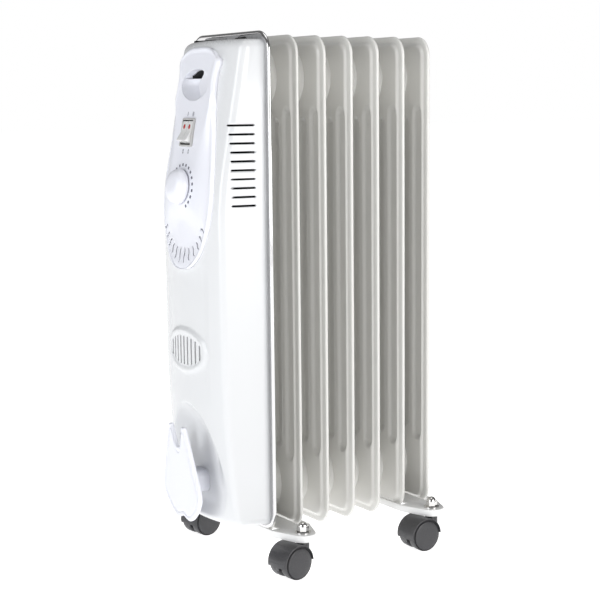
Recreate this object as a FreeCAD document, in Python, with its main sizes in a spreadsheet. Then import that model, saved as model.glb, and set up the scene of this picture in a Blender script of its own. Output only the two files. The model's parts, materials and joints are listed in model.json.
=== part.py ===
"""Oil filled radiator heater on four casters, as an assembly of separate pieces.

Seven hollow pressed-steel fins stand in a row behind a moulded control housing. The housing carries
the control panel with its finger recess, twin rocker switch and thermostat knob, the lower air vent
and the cord wrap. Two slotted steel brackets hang under the fins on U-bolts and carry the casters.

Frame: +X to the right as seen from the front, +Y to the back, +Z up, millimetres. The control panel
faces -Y. The origin is on the floor, below the centre of the overall box. Each sub-part is drawn with
Y counted from the middle fin and is then placed by the cell y_shift.
"""
import FreeCAD
import Part
import Sketcher
import math
import os

V = FreeCAD.Vector
X_AXIS = V(1, 0, 0)
AHEAD = -230            # a plane in front of every piece, where cutters through the front begin
doc = FreeCAD.newDocument("RadiatorHeater")

# ------------------------------------------------------------------ driving dimensions
DIMENSIONS = {
    "y_shift": 42.083,         # moves the middle fin behind the origin
    "fin_count": 7, "fin_pitch": 37.7, "fin_width": 150, "fin_height": 580, "fin_base": 40.7,
    "fin_corner": 22, "sheet": 0.7, "rim_width": 7.5, "rim_half": 2, "panel_half": 4.8,
    "panel_corner": 15, "boss_inset": 48.6, "boss_base_radius": 40, "boss_taper": 40, "port_radius": 14,
    "channel_floor": 1, "channel_radius": 8.5, "inner_channel_x": 33, "outer_channel_x": 56,
    "channel_inset": 93, "channel_step": 12,
    "trim_width": 176, "trim_height": 574.7, "trim_base": 49.3, "trim_corner": 24, "trim_lip": 9,
    "trim_depth": 4, "trim_front": -122, "web_front": -120, "web": 1.5, "duct_radius": 30,
    "shell_half_width": 77, "shell_front": -188.5, "shell_bow": 150, "shell_corner": 12,
    "shell_wall": 2.5, "shell_top": 615, "shell_bottom": 55, "lean_top_from": 403,
    "lean_top_radius": 370, "lean_top_angle": 10.4, "lean_low_from": 260, "lean_low_radius": 1290,
    "fascia_proud": 3, "fascia_lip": 9,
    "slot_count": 10, "slot_pitch": 10, "slot_first": 427.7, "slot_length": 29.5, "slot_height": 2.2,
    "slot_front": -162,
    "vent_height": 259, "vent_width": 89, "vent_tall": 54, "vent_ring": 7, "vent_slots": 9,
    "vent_pitch": 8, "vent_slot_width": 2.4,
    "niche_top": 196, "niche_half": 60, "niche_low": 66, "niche_floor": -167,
    "grip_height": 565, "grip_width": 62, "grip_tall": 36, "grip_back": -139, "grip_wall": 1.6,
    "switch_height": 510.5, "switch_tilt": -10.4, "switch_front": -176.4, "bezel_width": 28,
    "bezel_tall": 33, "bezel_thick": 3.4, "window_width": 23.8, "window_tall": 27.2, "switch_wall": 1.8,
    "rocker_width": 11.1, "rocker_offset": 5.9, "rocker_half": 12, "rocker_end": -6.2,
    "rocker_dip": -4.2, "rocker_turn": 15, "pivot_radius": 1, "running_gap": 0.05,
    "knob_height": 449, "knob_tilt": -7.1, "knob_front": -189.6, "knob_radius": 20.2,
    "knob_depth": 17.6, "shaft_radius": 3,
    "wrap_height": 62, "wrap_front": -194.4, "wrap_tilt": 4, "wrap_thick": 4.8, "wrap_screw_x": 14,
    "wrap_screw_z": 97, "gland_x": -52, "gland_y": -150, "gland_bore": 3.6,
    "bracket_y": 94.25, "bracket_top": 49, "bracket_sheet": 2, "bracket_lip": 8, "bracket_half": 26.5,
    "bracket_shoulder": 79, "tip_radius": 15, "stem_x": 105.7, "stem_radius": 4,
    "notch_inner": 13.7, "notch_outer": 24, "notch_half": 76,
    "u_bolt_radius": 27.6, "u_bolt_rod": 2.5, "u_bolt_low": 37,
    "stem_low": 33, "wheel_radius": 19.5, "wheel_trail": 19, "wheel_inner": 3.2, "wheel_outer": 17,
    "hood_radius": 21.2, "hood_inside": 20, "hood_half": 16, "hood_web": 2.4, "axle_radius": 2.5,
    "axle_half": 12.5, "caster_turn": 8.6,
    "element_rod": 3.2, "element_half_gap": 8, "element_end": 92,
}
sheet = doc.addObject("Spreadsheet::Sheet", "Sizes")
for row, (alias, value) in enumerate(DIMENSIONS.items(), start=1):
    sheet.set(f"A{row}", alias)
    sheet.set(f"B{row}", str(value))
    sheet.setAlias(f"B{row}", alias)
doc.recompute()


def size(alias):
    """The value of one cell of the sheet."""
    return float(getattr(sheet, alias))


def bind(obj, **expressions):
    """Bind properties of an object to expressions of the sheet's cells; a leading = marks a cell name."""
    for prop, text in expressions.items():
        obj.setExpression(prop.replace("__", "."), text.replace("=", "Sizes."))
    return obj


SUB_PARTS = []


def keep(obj, label, y="=y_shift"):
    """Name a finished sub-part, place it along Y from the sheet and list it for export."""
    obj.Label = label
    bind(obj, Placement__Base__y=y)
    SUB_PARTS.append(obj)
    return obj


def fixed(shape, label):
    """A sub-part whose shape is worked out here from the sheet's values."""
    obj = doc.addObject("Part::Feature", label)
    obj.Shape = shape
    obj.Placement = FreeCAD.Placement(V(0, size("y_shift"), 0), FreeCAD.Rotation()) * shape.Placement
    obj.Label = label
    SUB_PARTS.append(obj)
    return obj


# ------------------------------------------------------------------ sketch and solid helpers
def new_body(name):
    return doc.addObject("PartDesign::Body", name)


def new_sketch(body, role, lift="0"):
    """A sketch on one of the body's own origin planes, lifted along the plane's normal."""
    sketch = body.newObject("Sketcher::SketchObject", body.Name + "_sketch")
    plane = [f for f in body.Origin.OriginFeatures if f.Role == role][0]
    sketch.AttachmentSupport = [(plane, "")]
    sketch.MapMode = "FlatFace"
    bind(sketch, AttachmentOffset__Base__z=lift)
    return sketch


def add_rectangle(sketch, half_u, half_v, centre_v="0", centre_u="0"):
    """A rectangle with its half sizes and centre bound to the sheet."""
    first = sketch.GeometryCount
    corners = [V(-5, -5, 0), V(5, -5, 0), V(5, 5, 0), V(-5, 5, 0)]
    for k in range(4):
        sketch.addGeometry(Part.LineSegment(corners[k], corners[(k + 1) % 4]), False)
    for k in range(4):
        sketch.addConstraint(Sketcher.Constraint("Coincident", first + k, 2, first + (k + 1) % 4, 1))
    for k, kind in enumerate(("Horizontal", "Vertical", "Horizontal", "Vertical")):
        sketch.addConstraint(Sketcher.Constraint(kind, first + k))
    limits = (("DistanceX", first, f"({centre_u}) + ({half_u})", 2),
              ("DistanceX", first, f"({centre_u}) - ({half_u})", 1),
              ("DistanceY", first, f"({centre_v}) - ({half_v})", 1),
              ("DistanceY", first + 2, f"({centre_v}) + ({half_v})", 1))
    for kind, edge, text, point in limits:
        index = sketch.addConstraint(Sketcher.Constraint(kind, -1, 1, edge, point, 1.0))
        sketch.setExpression(f"Constraints[{index}]", text.replace("=", "Sizes."))


def add_circle(sketch, radius, centre_v="0", centre_u="0"):
    """A circle with its radius and centre bound to the sheet."""
    edge = sketch.addGeometry(Part.Circle(V(0.1, 0.1, 0), V(0, 0, 1), 1), False)
    rows = ((Sketcher.Constraint("Radius", edge, 1.0), radius),
            (Sketcher.Constraint("DistanceX", -1, 1, edge, 3, 0.1), centre_u),
            (Sketcher.Constraint("DistanceY", -1, 1, edge, 3, 0.1), centre_v))
    for constraint, text in rows:
        index = sketch.addConstraint(constraint)
        sketch.setExpression(f"Constraints[{index}]", text.replace("=", "Sizes."))


def pad(body, sketch, length, taper="0", back=False):
    feature = body.newObject("PartDesign::Pad", body.Name + "_pad")
    feature.Profile = sketch
    feature.Reversed = back
    bind(feature, Length=length, TaperAngle=taper)
    return feature


def pocket(body, sketch, length, taper="0", back=False):
    feature = body.newObject("PartDesign::Pocket", body.Name + "_pocket")
    feature.Profile = sketch
    feature.Reversed = back
    bind(feature, Length=length, TaperAngle=taper)
    return feature


def round_corners(body, feature, radius, half_width):
    """Round the upright plate's four corner edges, which run along Y at the given half width."""
    doc.recompute()
    names = []
    for k, edge in enumerate(feature.Shape.Edges, start=1):
        middle = edge.CenterOfMass
        along = len(edge.Vertexes) == 2 and abs(edge.tangentAt(edge.FirstParameter).y) > 0.999
        if along and abs(abs(middle.x) - half_width) < 0.01:
            names.append(f"Edge{k}")
    fillet = body.newObject("PartDesign::Fillet", body.Name + "_corners")
    fillet.Base = (feature, names)
    bind(fillet, Radius=radius)
    return fillet


def compound(name, objects):
    """Several solids kept side by side as one piece."""
    obj = doc.addObject("Part::Compound", name)
    obj.Links = objects
    return obj


def face_of(points):
    """A face from a closed outline: (x, z) corners, with (x, z, through_x, through_z) for an arc that
    reaches (x, z) by way of the second point."""
    edges = []
    last = V(points[-1][0], 0, points[-1][1])
    for point in points:
        here = V(point[0], 0, point[1])
        if len(point) == 4:
            edges.append(Part.Arc(last, V(point[2], 0, point[3]), here).toShape())
        elif (here - last).Length > 1e-6:
            edges.append(Part.LineSegment(last, here).toShape())
        last = here
    return Part.Face(Part.Wire(edges))


def prism(face, front, depth):
    """The (x, z) face extruded to the back from the given front plane."""
    return face.translated(V(0, front, 0)).extrude(V(0, depth, 0))


def ellipse_face(half_x, half_z, height):
    """An upright ellipse face about x = 0."""
    major = max(half_x, half_z)
    curve = Part.Ellipse(V(0, 0, 0), major, min(half_x, half_z)).toShape()
    if half_z > half_x:
        curve.rotate(V(), V(0, 0, 1), 90)
    curve.rotate(V(), X_AXIS, 90)
    return Part.Face(Part.Wire([curve])).translated(V(0, 0, height))


# ------------------------------------------------------------------ fins
PANEL_U = "=fin_width / 2 - =rim_width"
PANEL_V = "=fin_height / 2 - =rim_width"
FIN_MIDDLE = "=fin_base + =fin_height / 2"
BOSSES = ("=fin_base + =boss_inset", "=fin_base + =fin_height - =boss_inset")


def add_channels(sketch, grow):
    """Four upright pressed channels, the inner pair shorter than the outer pair."""
    for sign in ("1", "-1"):
        for centre, step in (("=inner_channel_x", "=channel_step"), ("=outer_channel_x", "0")):
            add_rectangle(sketch, f"=channel_radius + {grow}",
                          f"=fin_height / 2 - =channel_inset - ({step}) + {grow}", FIN_MIDDLE,
                          f"{sign} * ({centre})")


def fin_sheet(name, joined):
    """One pressed sheet of a fin, the one that faces -Y: seam rim, raised panel, channels and, where
    it joins its neighbour, two hollow bosses with an oil port."""
    body = new_body(name)
    sketch = new_sketch(body, "XZ_Plane")
    add_rectangle(sketch, "=fin_width / 2", "=fin_height / 2", FIN_MIDDLE)
    rim = pad(body, sketch, "=rim_half")
    round_corners(body, rim, "=fin_corner", size("fin_width") / 2)
    sketch = new_sketch(body, "XZ_Plane", "=rim_half - 0.5")
    add_rectangle(sketch, PANEL_U, PANEL_V, FIN_MIDDLE)
    panel = pad(body, sketch, "=panel_half - =rim_half + 0.5")
    round_corners(body, panel, "=panel_corner", size("fin_width") / 2 - size("rim_width"))
    if joined:
        for height in BOSSES:
            sketch = new_sketch(body, "XZ_Plane")
            add_circle(sketch, "=boss_base_radius", height)
            pad(body, sketch, "=fin_pitch / 2", "-=boss_taper")
    sketch = new_sketch(body, "XZ_Plane")
    add_rectangle(sketch, f"{PANEL_U} - =sheet", f"{PANEL_V} - =sheet", FIN_MIDDLE)
    add_channels(sketch, "=sheet")
    pocket(body, sketch, "=panel_half - =sheet", back=True)
    if joined:
        for height in BOSSES:
            sketch = new_sketch(body, "XZ_Plane")
            add_circle(sketch, "=boss_base_radius - =sheet * 1.3", height)
            pocket(body, sketch, "=fin_pitch / 2 - =sheet", "-=boss_taper", back=True)
            sketch = new_sketch(body, "XZ_Plane")
            add_circle(sketch, "=port_radius", height)
            pocket(body, sketch, "=fin_pitch", back=True)
    sketch = new_sketch(body, "XZ_Plane", "=channel_floor")
    add_channels(sketch, "0")
    pocket(body, sketch, "=panel_half", back=True)
    return body


def with_port(body, height, radius):
    """Open one round port through an end sheet."""
    sketch = new_sketch(body, "XZ_Plane")
    add_circle(sketch, radius, height)
    pocket(body, sketch, "=fin_pitch", back=True)
    return body


def mirrored(source, name):
    """The same sheet facing the other way."""
    obj = doc.addObject("Part::Mirroring", name)
    obj.Source = source
    obj.Base = V()
    obj.Normal = V(0, 1, 0)
    return obj


front_sheet = fin_sheet("joined_sheet", True)
back_sheet = mirrored(front_sheet, "joined_sheet_back")
first_sheet = with_port(fin_sheet("first_sheet", False), BOSSES[0], "=port_radius")
last_sheet = mirrored(with_port(fin_sheet("last_sheet", False), BOSSES[1], "5"), "last_sheet_back")
for number in range(1, int(size("fin_count")) + 1):
    halves = [first_sheet if number == 1 else front_sheet,
              last_sheet if number == int(size("fin_count")) else back_sheet]
    keep(compound(f"fin_{number}", halves), f"fin_{number}",
         f"=y_shift + ({number} - (=fin_count + 1) / 2) * =fin_pitch")


# ------------------------------------------------------------------ trim plate behind the housing
def trim_plate():
    """Polished plate between the housing and the first fin: a thin web with a deeper rolled border
    and a round duct for the heating element's flange."""
    middle = "=trim_base + =trim_height / 2"
    body = new_body("trim_plate_body")
    sketch = new_sketch(body, "XZ_Plane", "-=trim_front - =trim_depth")
    add_rectangle(sketch, "=trim_width / 2", "=trim_height / 2", middle)
    plate = pad(body, sketch, "=trim_depth")
    round_corners(body, plate, "=trim_corner", size("trim_width") / 2)
    inside = ("=trim_width / 2 - =trim_lip", "=trim_height / 2 - =trim_lip")
    sketch = new_sketch(body, "XZ_Plane", "-=web_front")
    add_rectangle(sketch, inside[0], inside[1], middle)
    pocket(body, sketch, "=trim_depth", back=True)
    sketch = new_sketch(body, "XZ_Plane", "-=web_front - =web")
    add_rectangle(sketch, inside[0], inside[1], middle)
    pocket(body, sketch, "=trim_depth")
    sketch = new_sketch(body, "XZ_Plane", "0")
    add_circle(sketch, "=duct_radius", BOSSES[0])
    pocket(body, sketch, "-=trim_front + 1", back=True)
    return keep(body, "trim_plate")


trim_plate()


# ------------------------------------------------------------------ housing and control panel
def housing_section(grow, height):
    """Level section of the housing: bowed front, round corners and flat sides, open-ended to the back."""
    half = size("shell_half_width") + grow
    bow = size("shell_bow") + grow
    centre_y = size("shell_front") + size("shell_bow")
    corner = max(size("shell_corner") + grow, 2)
    back = size("shell_front") + 90
    corner_x = half - corner
    corner_y = centre_y - math.sqrt((bow - corner) ** 2 - corner_x ** 2)
    slope = math.atan2(corner_x, centre_y - corner_y)
    touch = V(bow * math.sin(slope), centre_y - bow * math.cos(slope), height)
    middle = math.radians(45) + slope / 2
    bend = V(corner_x + corner * math.sin(middle), corner_y - corner * math.cos(middle), height)
    side = V(half, corner_y, height)

    def other(point):
        return V(-point.x, point.y, point.z)

    nose = V(0, centre_y - bow, height)
    rear = V(half, back, height)
    edges = [Part.Arc(other(touch), nose, touch).toShape(), Part.Arc(touch, bend, side).toShape(),
             Part.LineSegment(side, rear).toShape(), Part.LineSegment(rear, other(rear)).toShape(),
             Part.LineSegment(other(rear), other(side)).toShape(),
             Part.Arc(other(side), other(bend), other(touch)).toShape()]
    return Part.Face(Part.Wire(edges))


def housing_solid(grow, end_margin=0.0):
    """The housing's full outer form, grown all round: upright in the middle, curving above into a
    straight backward slope, leaning back below on a large radius, level at the ends, flat behind."""
    low, high = size("lean_low_from"), size("lean_top_from")
    front, angle = size("shell_front"), size("lean_top_angle")
    bend_axis = V(0, front + size("lean_top_radius"), high)
    sloping = housing_section(grow, high)
    sloping.rotate(bend_axis, X_AXIS, -angle)
    uphill = V(0, math.sin(math.radians(angle)), math.cos(math.radians(angle))) * 180
    pieces = [housing_section(grow, low).extrude(V(0, 0, high - low)),
              housing_section(grow, high).revolve(bend_axis, X_AXIS, -angle), sloping.extrude(uphill),
              housing_section(grow, low).revolve(V(0, front + size("lean_low_radius"), low), X_AXIS, 11)]
    whole = pieces[0].fuse(pieces[1:]).removeSplitter()
    base = size("shell_bottom") - end_margin
    clip = Part.makeBox(400, 400, size("shell_top") + end_margin - base,
                        V(-200, size("web_front") - 400, base))
    return whole.common(clip)


def mirrored_outline(start, right):
    """A closed outline from its right half, given as face_of points from the start on the middle line."""
    stops = [start] + right
    left = [(-stops[k - 1][0], stops[k - 1][1]) + tuple(f * c for f, c in zip((-1, 1), stops[k][2:]))
            for k in range(len(stops) - 1, 0, -1)]
    return right + left


def fascia_face():
    """The control panel's outline: low arch on top, slight waist, wide middle and a rounded lower end."""
    right = [(38, 603, 20, 606.6), (45.5, 595, 43.6, 600.6), (41.5, 577, 43.8, 586), (42, 556, 40.8, 566),
             (51.5, 495, 46.5, 526), (57, 440, 55.5, 468), (49.5, 392, 55.5, 413), (0, 354, 30, 364)]
    return face_of(mirrored_outline((0, 607.5), right))


def niche_face(grow=0.0):
    """Arch outline of the niche behind the cord wrap."""
    half = size("niche_half") + grow
    low, top = size("niche_low") - grow, size("niche_top") + grow
    shoulder = low + 0.5 * (top - low)
    waist, flank = (0.82 * half, shoulder), (0.95 * half, (low + shoulder) / 2)
    crown = (0.58 * half, shoulder + 0.72 * (top - shoulder))
    return face_of([(-half, low), (half, low), waist + flank, (0, top) + crown,
                    (-waist[0], shoulder, -crown[0], crown[1]), (-half, low, -flank[0], flank[1])])


def slot_boxes():
    """Air slots through both sides of the housing."""
    boxes = []
    for k in range(int(size("slot_count"))):
        corner = V(-100, size("slot_front"), size("slot_first") + k * size("slot_pitch"))
        boxes.append(Part.makeBox(200, size("slot_length"), size("slot_height"), corner))
    return boxes


def vent_boxes():
    """Upright slots of the lower vent, shorter towards the sides of the oval."""
    boxes = []
    half_x = size("vent_width") / 2 - size("vent_ring")
    half_z = size("vent_tall") / 2 - size("vent_ring")
    middle = (size("vent_slots") - 1) / 2
    for k in range(int(size("vent_slots"))):
        x = (k - middle) * size("vent_pitch")
        tall = 0.85 * half_z * math.sqrt(1 - (x / half_x) ** 2)
        corner = V(x - size("vent_slot_width") / 2, AHEAD, size("vent_height") - tall)
        boxes.append(Part.makeBox(size("vent_slot_width"), 60, 2 * tall, corner))
    return boxes


def tilted(shape, front, height, tilt):
    """Turn a shape drawn about the origin to the housing's slope, then move it to its place."""
    placed = shape.copy()
    placed.rotate(V(), X_AXIS, tilt)
    placed.translate(V(0, front, height))
    return placed


def centred_box(width, depth, tall, front):
    """A box centred across and in height, starting at the given depth."""
    return Part.makeBox(width, depth, tall, V(-width / 2, front, -tall / 2))


GLAND_NECK, SCREW_RADIUS = 5.95, 1.75


def housing_shell():
    """Moulded housing, open at the back, with slots, vent ring, cord niche and the panel's opening."""
    wall = size("shell_wall")
    outer = housing_solid(0)
    inner = housing_solid(-wall, -wall)
    depth = size("niche_floor") - AHEAD
    outer = outer.cut(prism(niche_face(), AHEAD, depth))
    inner = inner.cut(prism(niche_face(wall), AHEAD, depth + wall))
    ring = ellipse_face(size("vent_width") / 2, size("vent_tall") / 2, size("vent_height"))
    hole = ellipse_face(size("vent_width") / 2 - size("vent_ring"),
                        size("vent_tall") / 2 - size("vent_ring"), size("vent_height"))
    raised = housing_solid(1.5).cut(housing_solid(-0.5))
    raised = raised.common(prism(ring, AHEAD, 80)).cut(prism(hole, AHEAD, 80))
    shell = outer.cut(inner).fuse(raised)
    cuts = slot_boxes() + vent_boxes() + [prism(fascia_face().makeOffset2D(-size("fascia_lip")), AHEAD, 75)]
    cuts.append(Part.makeCylinder(GLAND_NECK + 0.05, 30, V(size("gland_x"), size("gland_y"), 45)))
    cuts += [Part.makeCylinder(SCREW_RADIUS + 0.05, 30, V(x, -180, size("wrap_screw_z")), V(0, 1, 0))
             for x in (-size("wrap_screw_x"), size("wrap_screw_x"))]
    border_top = size("trim_base") + size("trim_lip")
    cuts.append(Part.makeBox(400, 20, border_top, V(-200, size("trim_front"), 0)))
    return shell.cut(cuts)


def control_panel():
    """Moulded panel that follows the housing's front, with openings for grip, switch and knob shaft."""
    skin = housing_solid(size("fascia_proud"), 3).cut(housing_solid(0.02, 5))
    skin = skin.common(prism(fascia_face(), AHEAD, 90))
    grip = ellipse_face(size("grip_width") / 2, size("grip_tall") / 2, size("grip_height"))
    margin = 2 * (size("switch_wall") + 0.2)
    window = centred_box(size("window_width") + margin, 40, size("window_tall") + margin, -20)
    shaft = Part.makeCylinder(size("shaft_radius") + 0.5, 40, V(0, -20, 0), V(0, 1, 0))
    seat = centred_box(size("bezel_width"), size("bezel_thick"), size("bezel_tall"), -size("bezel_thick"))
    cuts = [prism(grip, AHEAD, 90),
            tilted(seat, size("switch_front"), size("switch_height"), size("switch_tilt")),
            tilted(window, size("switch_front"), size("switch_height"), size("switch_tilt")),
            tilted(shaft, size("knob_front"), size("knob_height"), size("knob_tilt"))]
    for k in range(11):
        angle = math.radians(180 + 15 * (k + 1))
        slot = Part.makeBox(1.8, 75, 17, V(-0.9, AHEAD, 24))
        slot.rotate(V(), V(0, 1, 0), 90 - math.degrees(angle))
        slot.translate(V(0, 0, 403))
        cuts.append(slot)
    return skin.cut(cuts)


def handle_cup():
    """Finger recess behind the panel: an oval cup with a flat floor, open to the front."""
    wall = size("grip_wall")
    half_x, half_z = size("grip_width") / 2, size("grip_tall") / 2
    back = size("grip_back")
    outside = ellipse_face(half_x - 0.02, half_z - 0.02, size("grip_height"))
    inside = ellipse_face(half_x - wall, half_z - wall, size("grip_height"))
    cup = prism(outside, AHEAD, back - AHEAD).cut(prism(inside, AHEAD, back - AHEAD - wall))
    return cup.common(housing_solid(size("fascia_proud") - 0.3, 3))


fixed(housing_shell(), "housing_shell")
fixed(control_panel(), "control_panel")
fixed(handle_cup(), "handle_cup")


# ------------------------------------------------------------------ twin rocker switch
def switch_placed(shape, label):
    return fixed(tilted(shape, size("switch_front"), size("switch_height"), size("switch_tilt")), label)


def switch_bezel():
    frame = centred_box(size("bezel_width"), size("bezel_thick"), size("bezel_tall"), -size("bezel_thick"))
    upright = [e for e in frame.Edges if abs(e.tangentAt(e.FirstParameter).y) > 0.99]
    frame = frame.makeFillet(2, upright)
    return frame.cut(centred_box(size("window_width"), 6, size("window_tall"), -5))


def switch_body():
    margin = 2 * size("switch_wall")
    outer = centred_box(size("window_width") + margin, 24, size("window_tall") + margin, 0)
    hollow = centred_box(size("window_width"), 14, size("window_tall"), -0.01)
    terminals = [Part.makeBox(0.8, 8, 6, V(x, 24, z)) for x in (-7, 0, 7) for z in (-8, 2)]
    return outer.cut(hollow).fuse(terminals)


def rocker(side):
    """One rocker: shallow V front and a tapering tail, pressed in at its top at rest, with its lens."""
    width, centre = size("rocker_width"), side * size("rocker_offset")
    end, dip, half = size("rocker_end"), size("rocker_dip"), size("rocker_half")
    outline = [V(0, end, half), V(0, dip, 0), V(0, end, -half), V(0, 0.6, -11.4), V(0, 5, -5),
               V(0, 5, 5), V(0, 0.6, 11.4)]
    face = Part.Face(Part.makePolygon(outline + outline[:1]))
    solid = face.extrude(V(width, 0, 0)).translated(V(centre - width / 2, 0, 0))
    bore = Part.makeCylinder(size("pivot_radius") + size("running_gap"), 40, V(-20, 0, 0), X_AXIS)
    lens = prism(ellipse_face(2.3, 2.9, 5.3), -8, 8 + dip + 0.8).translated(V(centre, 0, 0))
    solid = solid.cut(bore)
    turn = size("rocker_turn")
    return [shape.rotated(V(), X_AXIS, -turn) for shape in (solid.cut(lens), lens.common(solid))]


switch_placed(switch_bezel(), "switch_bezel")
switch_placed(switch_body(), "switch_body")
switch_placed(Part.makeCylinder(size("pivot_radius"), size("window_width"),
                                V(-size("window_width") / 2, 0, 0), X_AXIS), "switch_pivot")
for side, word in ((-1, "left"), (1, "right")):
    rocker_solid, rocker_lens = rocker(side)
    switch_placed(rocker_solid, "rocker_" + word)
    switch_placed(rocker_lens, "rocker_lens_" + word)


# ------------------------------------------------------------------ thermostat
def knob_placed(shape, label):
    return fixed(tilted(shape, size("knob_front"), size("knob_height"), size("knob_tilt")), label)


def thermostat_knob():
    """Round knob: skirt, domed face and a pointer rib, bored for its shaft."""
    radius, depth = size("knob_radius"), size("knob_depth")
    outline = [V(0, 0, 0), V(radius, 0, 0), V(radius, -2.4, 0), V(radius - 1.6, -4, 0),
               V(radius - 3.4, -10.5, 0), V(radius - 7, -14, 0), V(0, -depth, 0)]
    solid = Part.Face(Part.makePolygon(outline + outline[:1])).revolve(V(), V(0, 1, 0), 360)
    return solid.cut(Part.makeCylinder(size("shaft_radius"), 11, V(0, -10, 0), V(0, 1, 0)))


knob_placed(thermostat_knob(), "thermostat_knob")
knob_placed(Part.makeCylinder(size("shaft_radius"), 30, V(0, -10, 0), V(0, 1, 0)), "thermostat_shaft")
thermostat = Part.makeBox(34, 20, 26, V(-17, 10, -13)).fuse(
    [Part.makeBox(0.8, 9, 6, V(x, 30, -3)) for x in (-12, 11)])
thermostat = thermostat.cut(Part.makeCylinder(size("shaft_radius") + size("running_gap"), 12,
                                              V(0, 9.5, 0), V(0, 1, 0)))
knob_placed(thermostat, "thermostat_body")


# ------------------------------------------------------------------ cord wrap, gland and wiring parts
def cord_wrap():
    """Leaning plate with two square ears and a notch on top; the first outline point is the notch floor."""
    base = size("wrap_height")
    right = [(6.5, 150, 4.9, 146.4), (12.5, 171), (18.5, 170.4), (43, 101), (40, 79, 44.3, 89.5),
             (15, 57, 28.5, 65.5), (0, 60.5, 7.5, 58)]
    plate = prism(face_of(mirrored_outline((0, 145), right)), 0, size("wrap_thick"))
    return tilted(plate.translated(V(0, 0, -base)), size("wrap_front"), base, size("wrap_tilt"))


def cord_wrap_neck():
    """Box-shaped neck between the leaning plate and the niche floor."""
    tilt, base = size("wrap_tilt"), size("wrap_height")
    neck = Part.makeBox(40, 60, 40, V(-20, -200, 82))
    neck = neck.fuse(Part.makeBox(50, 4.5, 10, V(-25, size("niche_floor") - 9, 80)))
    keep_side = tilted(Part.makeBox(200, 60, 200, V(-100, size("wrap_thick"), -20)),
                       size("wrap_front"), base, tilt)
    floor = Part.makeBox(200, 100, 200, V(-100, size("niche_floor"), 0))
    return neck.common(keep_side).cut(floor)


fixed(cord_wrap().fuse(cord_wrap_neck()).removeSplitter(), "cord_wrap")
wall_y = size("niche_floor") + size("shell_wall")
screws = []
for x in (-size("wrap_screw_x"), size("wrap_screw_x")):
    head = Part.makeCylinder(3.4, 2, V(x, wall_y, size("wrap_screw_z")), V(0, 1, 0))
    shank = V(x, wall_y - size("shell_wall"), size("wrap_screw_z"))
    screws.append(head.fuse(Part.makeCylinder(SCREW_RADIUS, size("shell_wall"), shank, V(0, 1, 0))))
fixed(Part.makeCompound(screws), "cord_wrap_screws")
gland_foot = V(size("gland_x"), size("gland_y"), size("shell_bottom") - 2)
gland = Part.makeCylinder(8, 2, gland_foot).fuse(Part.makeCylinder(GLAND_NECK, 9, gland_foot))
fixed(gland.cut(Part.makeCylinder(size("gland_bore"), 30, gland_foot - V(0, 0, 8))), "cord_gland")
terminals = Part.makeBox(34, 14.5, 20, V(-50, -136, 180))
wire_holes = [Part.makeCylinder(2.2, 12, V(-42 + 9 * k, -137, 190), V(0, 1, 0)) for k in range(3)]
fixed(terminals.cut(wire_holes), "terminal_block")
fixed(Part.makeBox(100, 1.5, 130, V(-55, -121.5, 150)), "wiring_plate")
fixed(Part.makeCylinder(9, 8, V(20, -129.5, 230), V(0, 1, 0)).fuse(
    [Part.makeBox(6, 0.8, 8, V(x, -131.5, 226)) for x in (12, 22)]), "thermal_cutout")


# ------------------------------------------------------------------ heating element
BOSS_Z = size("fin_base") + size("boss_inset")
SHEET_FACE = (1 - (size("fin_count") + 1) / 2) * size("fin_pitch") - size("panel_half")


def heating_element():
    """Hairpin rod along the lower oil duct, through the flange, with two terminal pins in front."""
    gap, radius = size("element_half_gap"), size("element_rod")
    start = SHEET_FACE - 14
    length = size("element_end") - gap - start
    legs = [Part.makeCylinder(radius, length, V(x, start, BOSS_Z), V(0, 1, 0)) for x in (-gap, gap)]
    section = Part.Face(Part.Wire(Part.makeCircle(radius, V(gap, start + length, BOSS_Z), V(0, 1, 0))))
    bend = section.revolve(V(0, start + length, BOSS_Z), V(0, 0, 1), 180)
    pins = [Part.makeCylinder(1.4, 9, V(x, start - 9, BOSS_Z), V(0, 1, 0)) for x in (-gap, gap)]
    return legs[0].fuse([bend, legs[1]] + pins)


def element_flange():
    """Round flange that closes the duct, bored for the element's legs and its four bolts."""
    disc = Part.makeCylinder(26, 5, V(0, SHEET_FACE - 6.5, BOSS_Z), V(0, 1, 0))
    holes = [Part.makeCylinder(size("element_rod"), 30, V(x, SHEET_FACE - 20, BOSS_Z), V(0, 1, 0))
             for x in (-size("element_half_gap"), size("element_half_gap"))]
    return disc.cut(holes + [Part.makeCylinder(2.5, 30, V(x, SHEET_FACE - 20, z), V(0, 1, 0))
                             for x, z in BOLT_PLACES])


BOLT_PLACES = [(21 * math.cos(math.radians(45 + 90 * k)), BOSS_Z + 21 * math.sin(math.radians(45 + 90 * k)))
               for k in range(4)]
gasket = Part.makeCylinder(26, 1.5, V(0, SHEET_FACE - 1.5, BOSS_Z), V(0, 1, 0))
gasket = gasket.cut(
    [Part.makeCylinder(size("port_radius"), 5, V(0, SHEET_FACE - 3, BOSS_Z), V(0, 1, 0))]
    + [Part.makeCylinder(2.5, 5, V(x, SHEET_FACE - 3, z), V(0, 1, 0)) for x, z in BOLT_PLACES])
bolts = [Part.makeCylinder(4.2, 3.5, V(x, SHEET_FACE - 10, z), V(0, 1, 0)).fuse(
    Part.makeCylinder(2.5, 6.5, V(x, SHEET_FACE - 6.5, z), V(0, 1, 0))) for x, z in BOLT_PLACES]
fixed(heating_element(), "heating_element")
fixed(element_flange(), "element_flange")
fixed(gasket, "flange_gasket")
fixed(Part.makeCompound(bolts), "flange_bolts")

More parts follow.
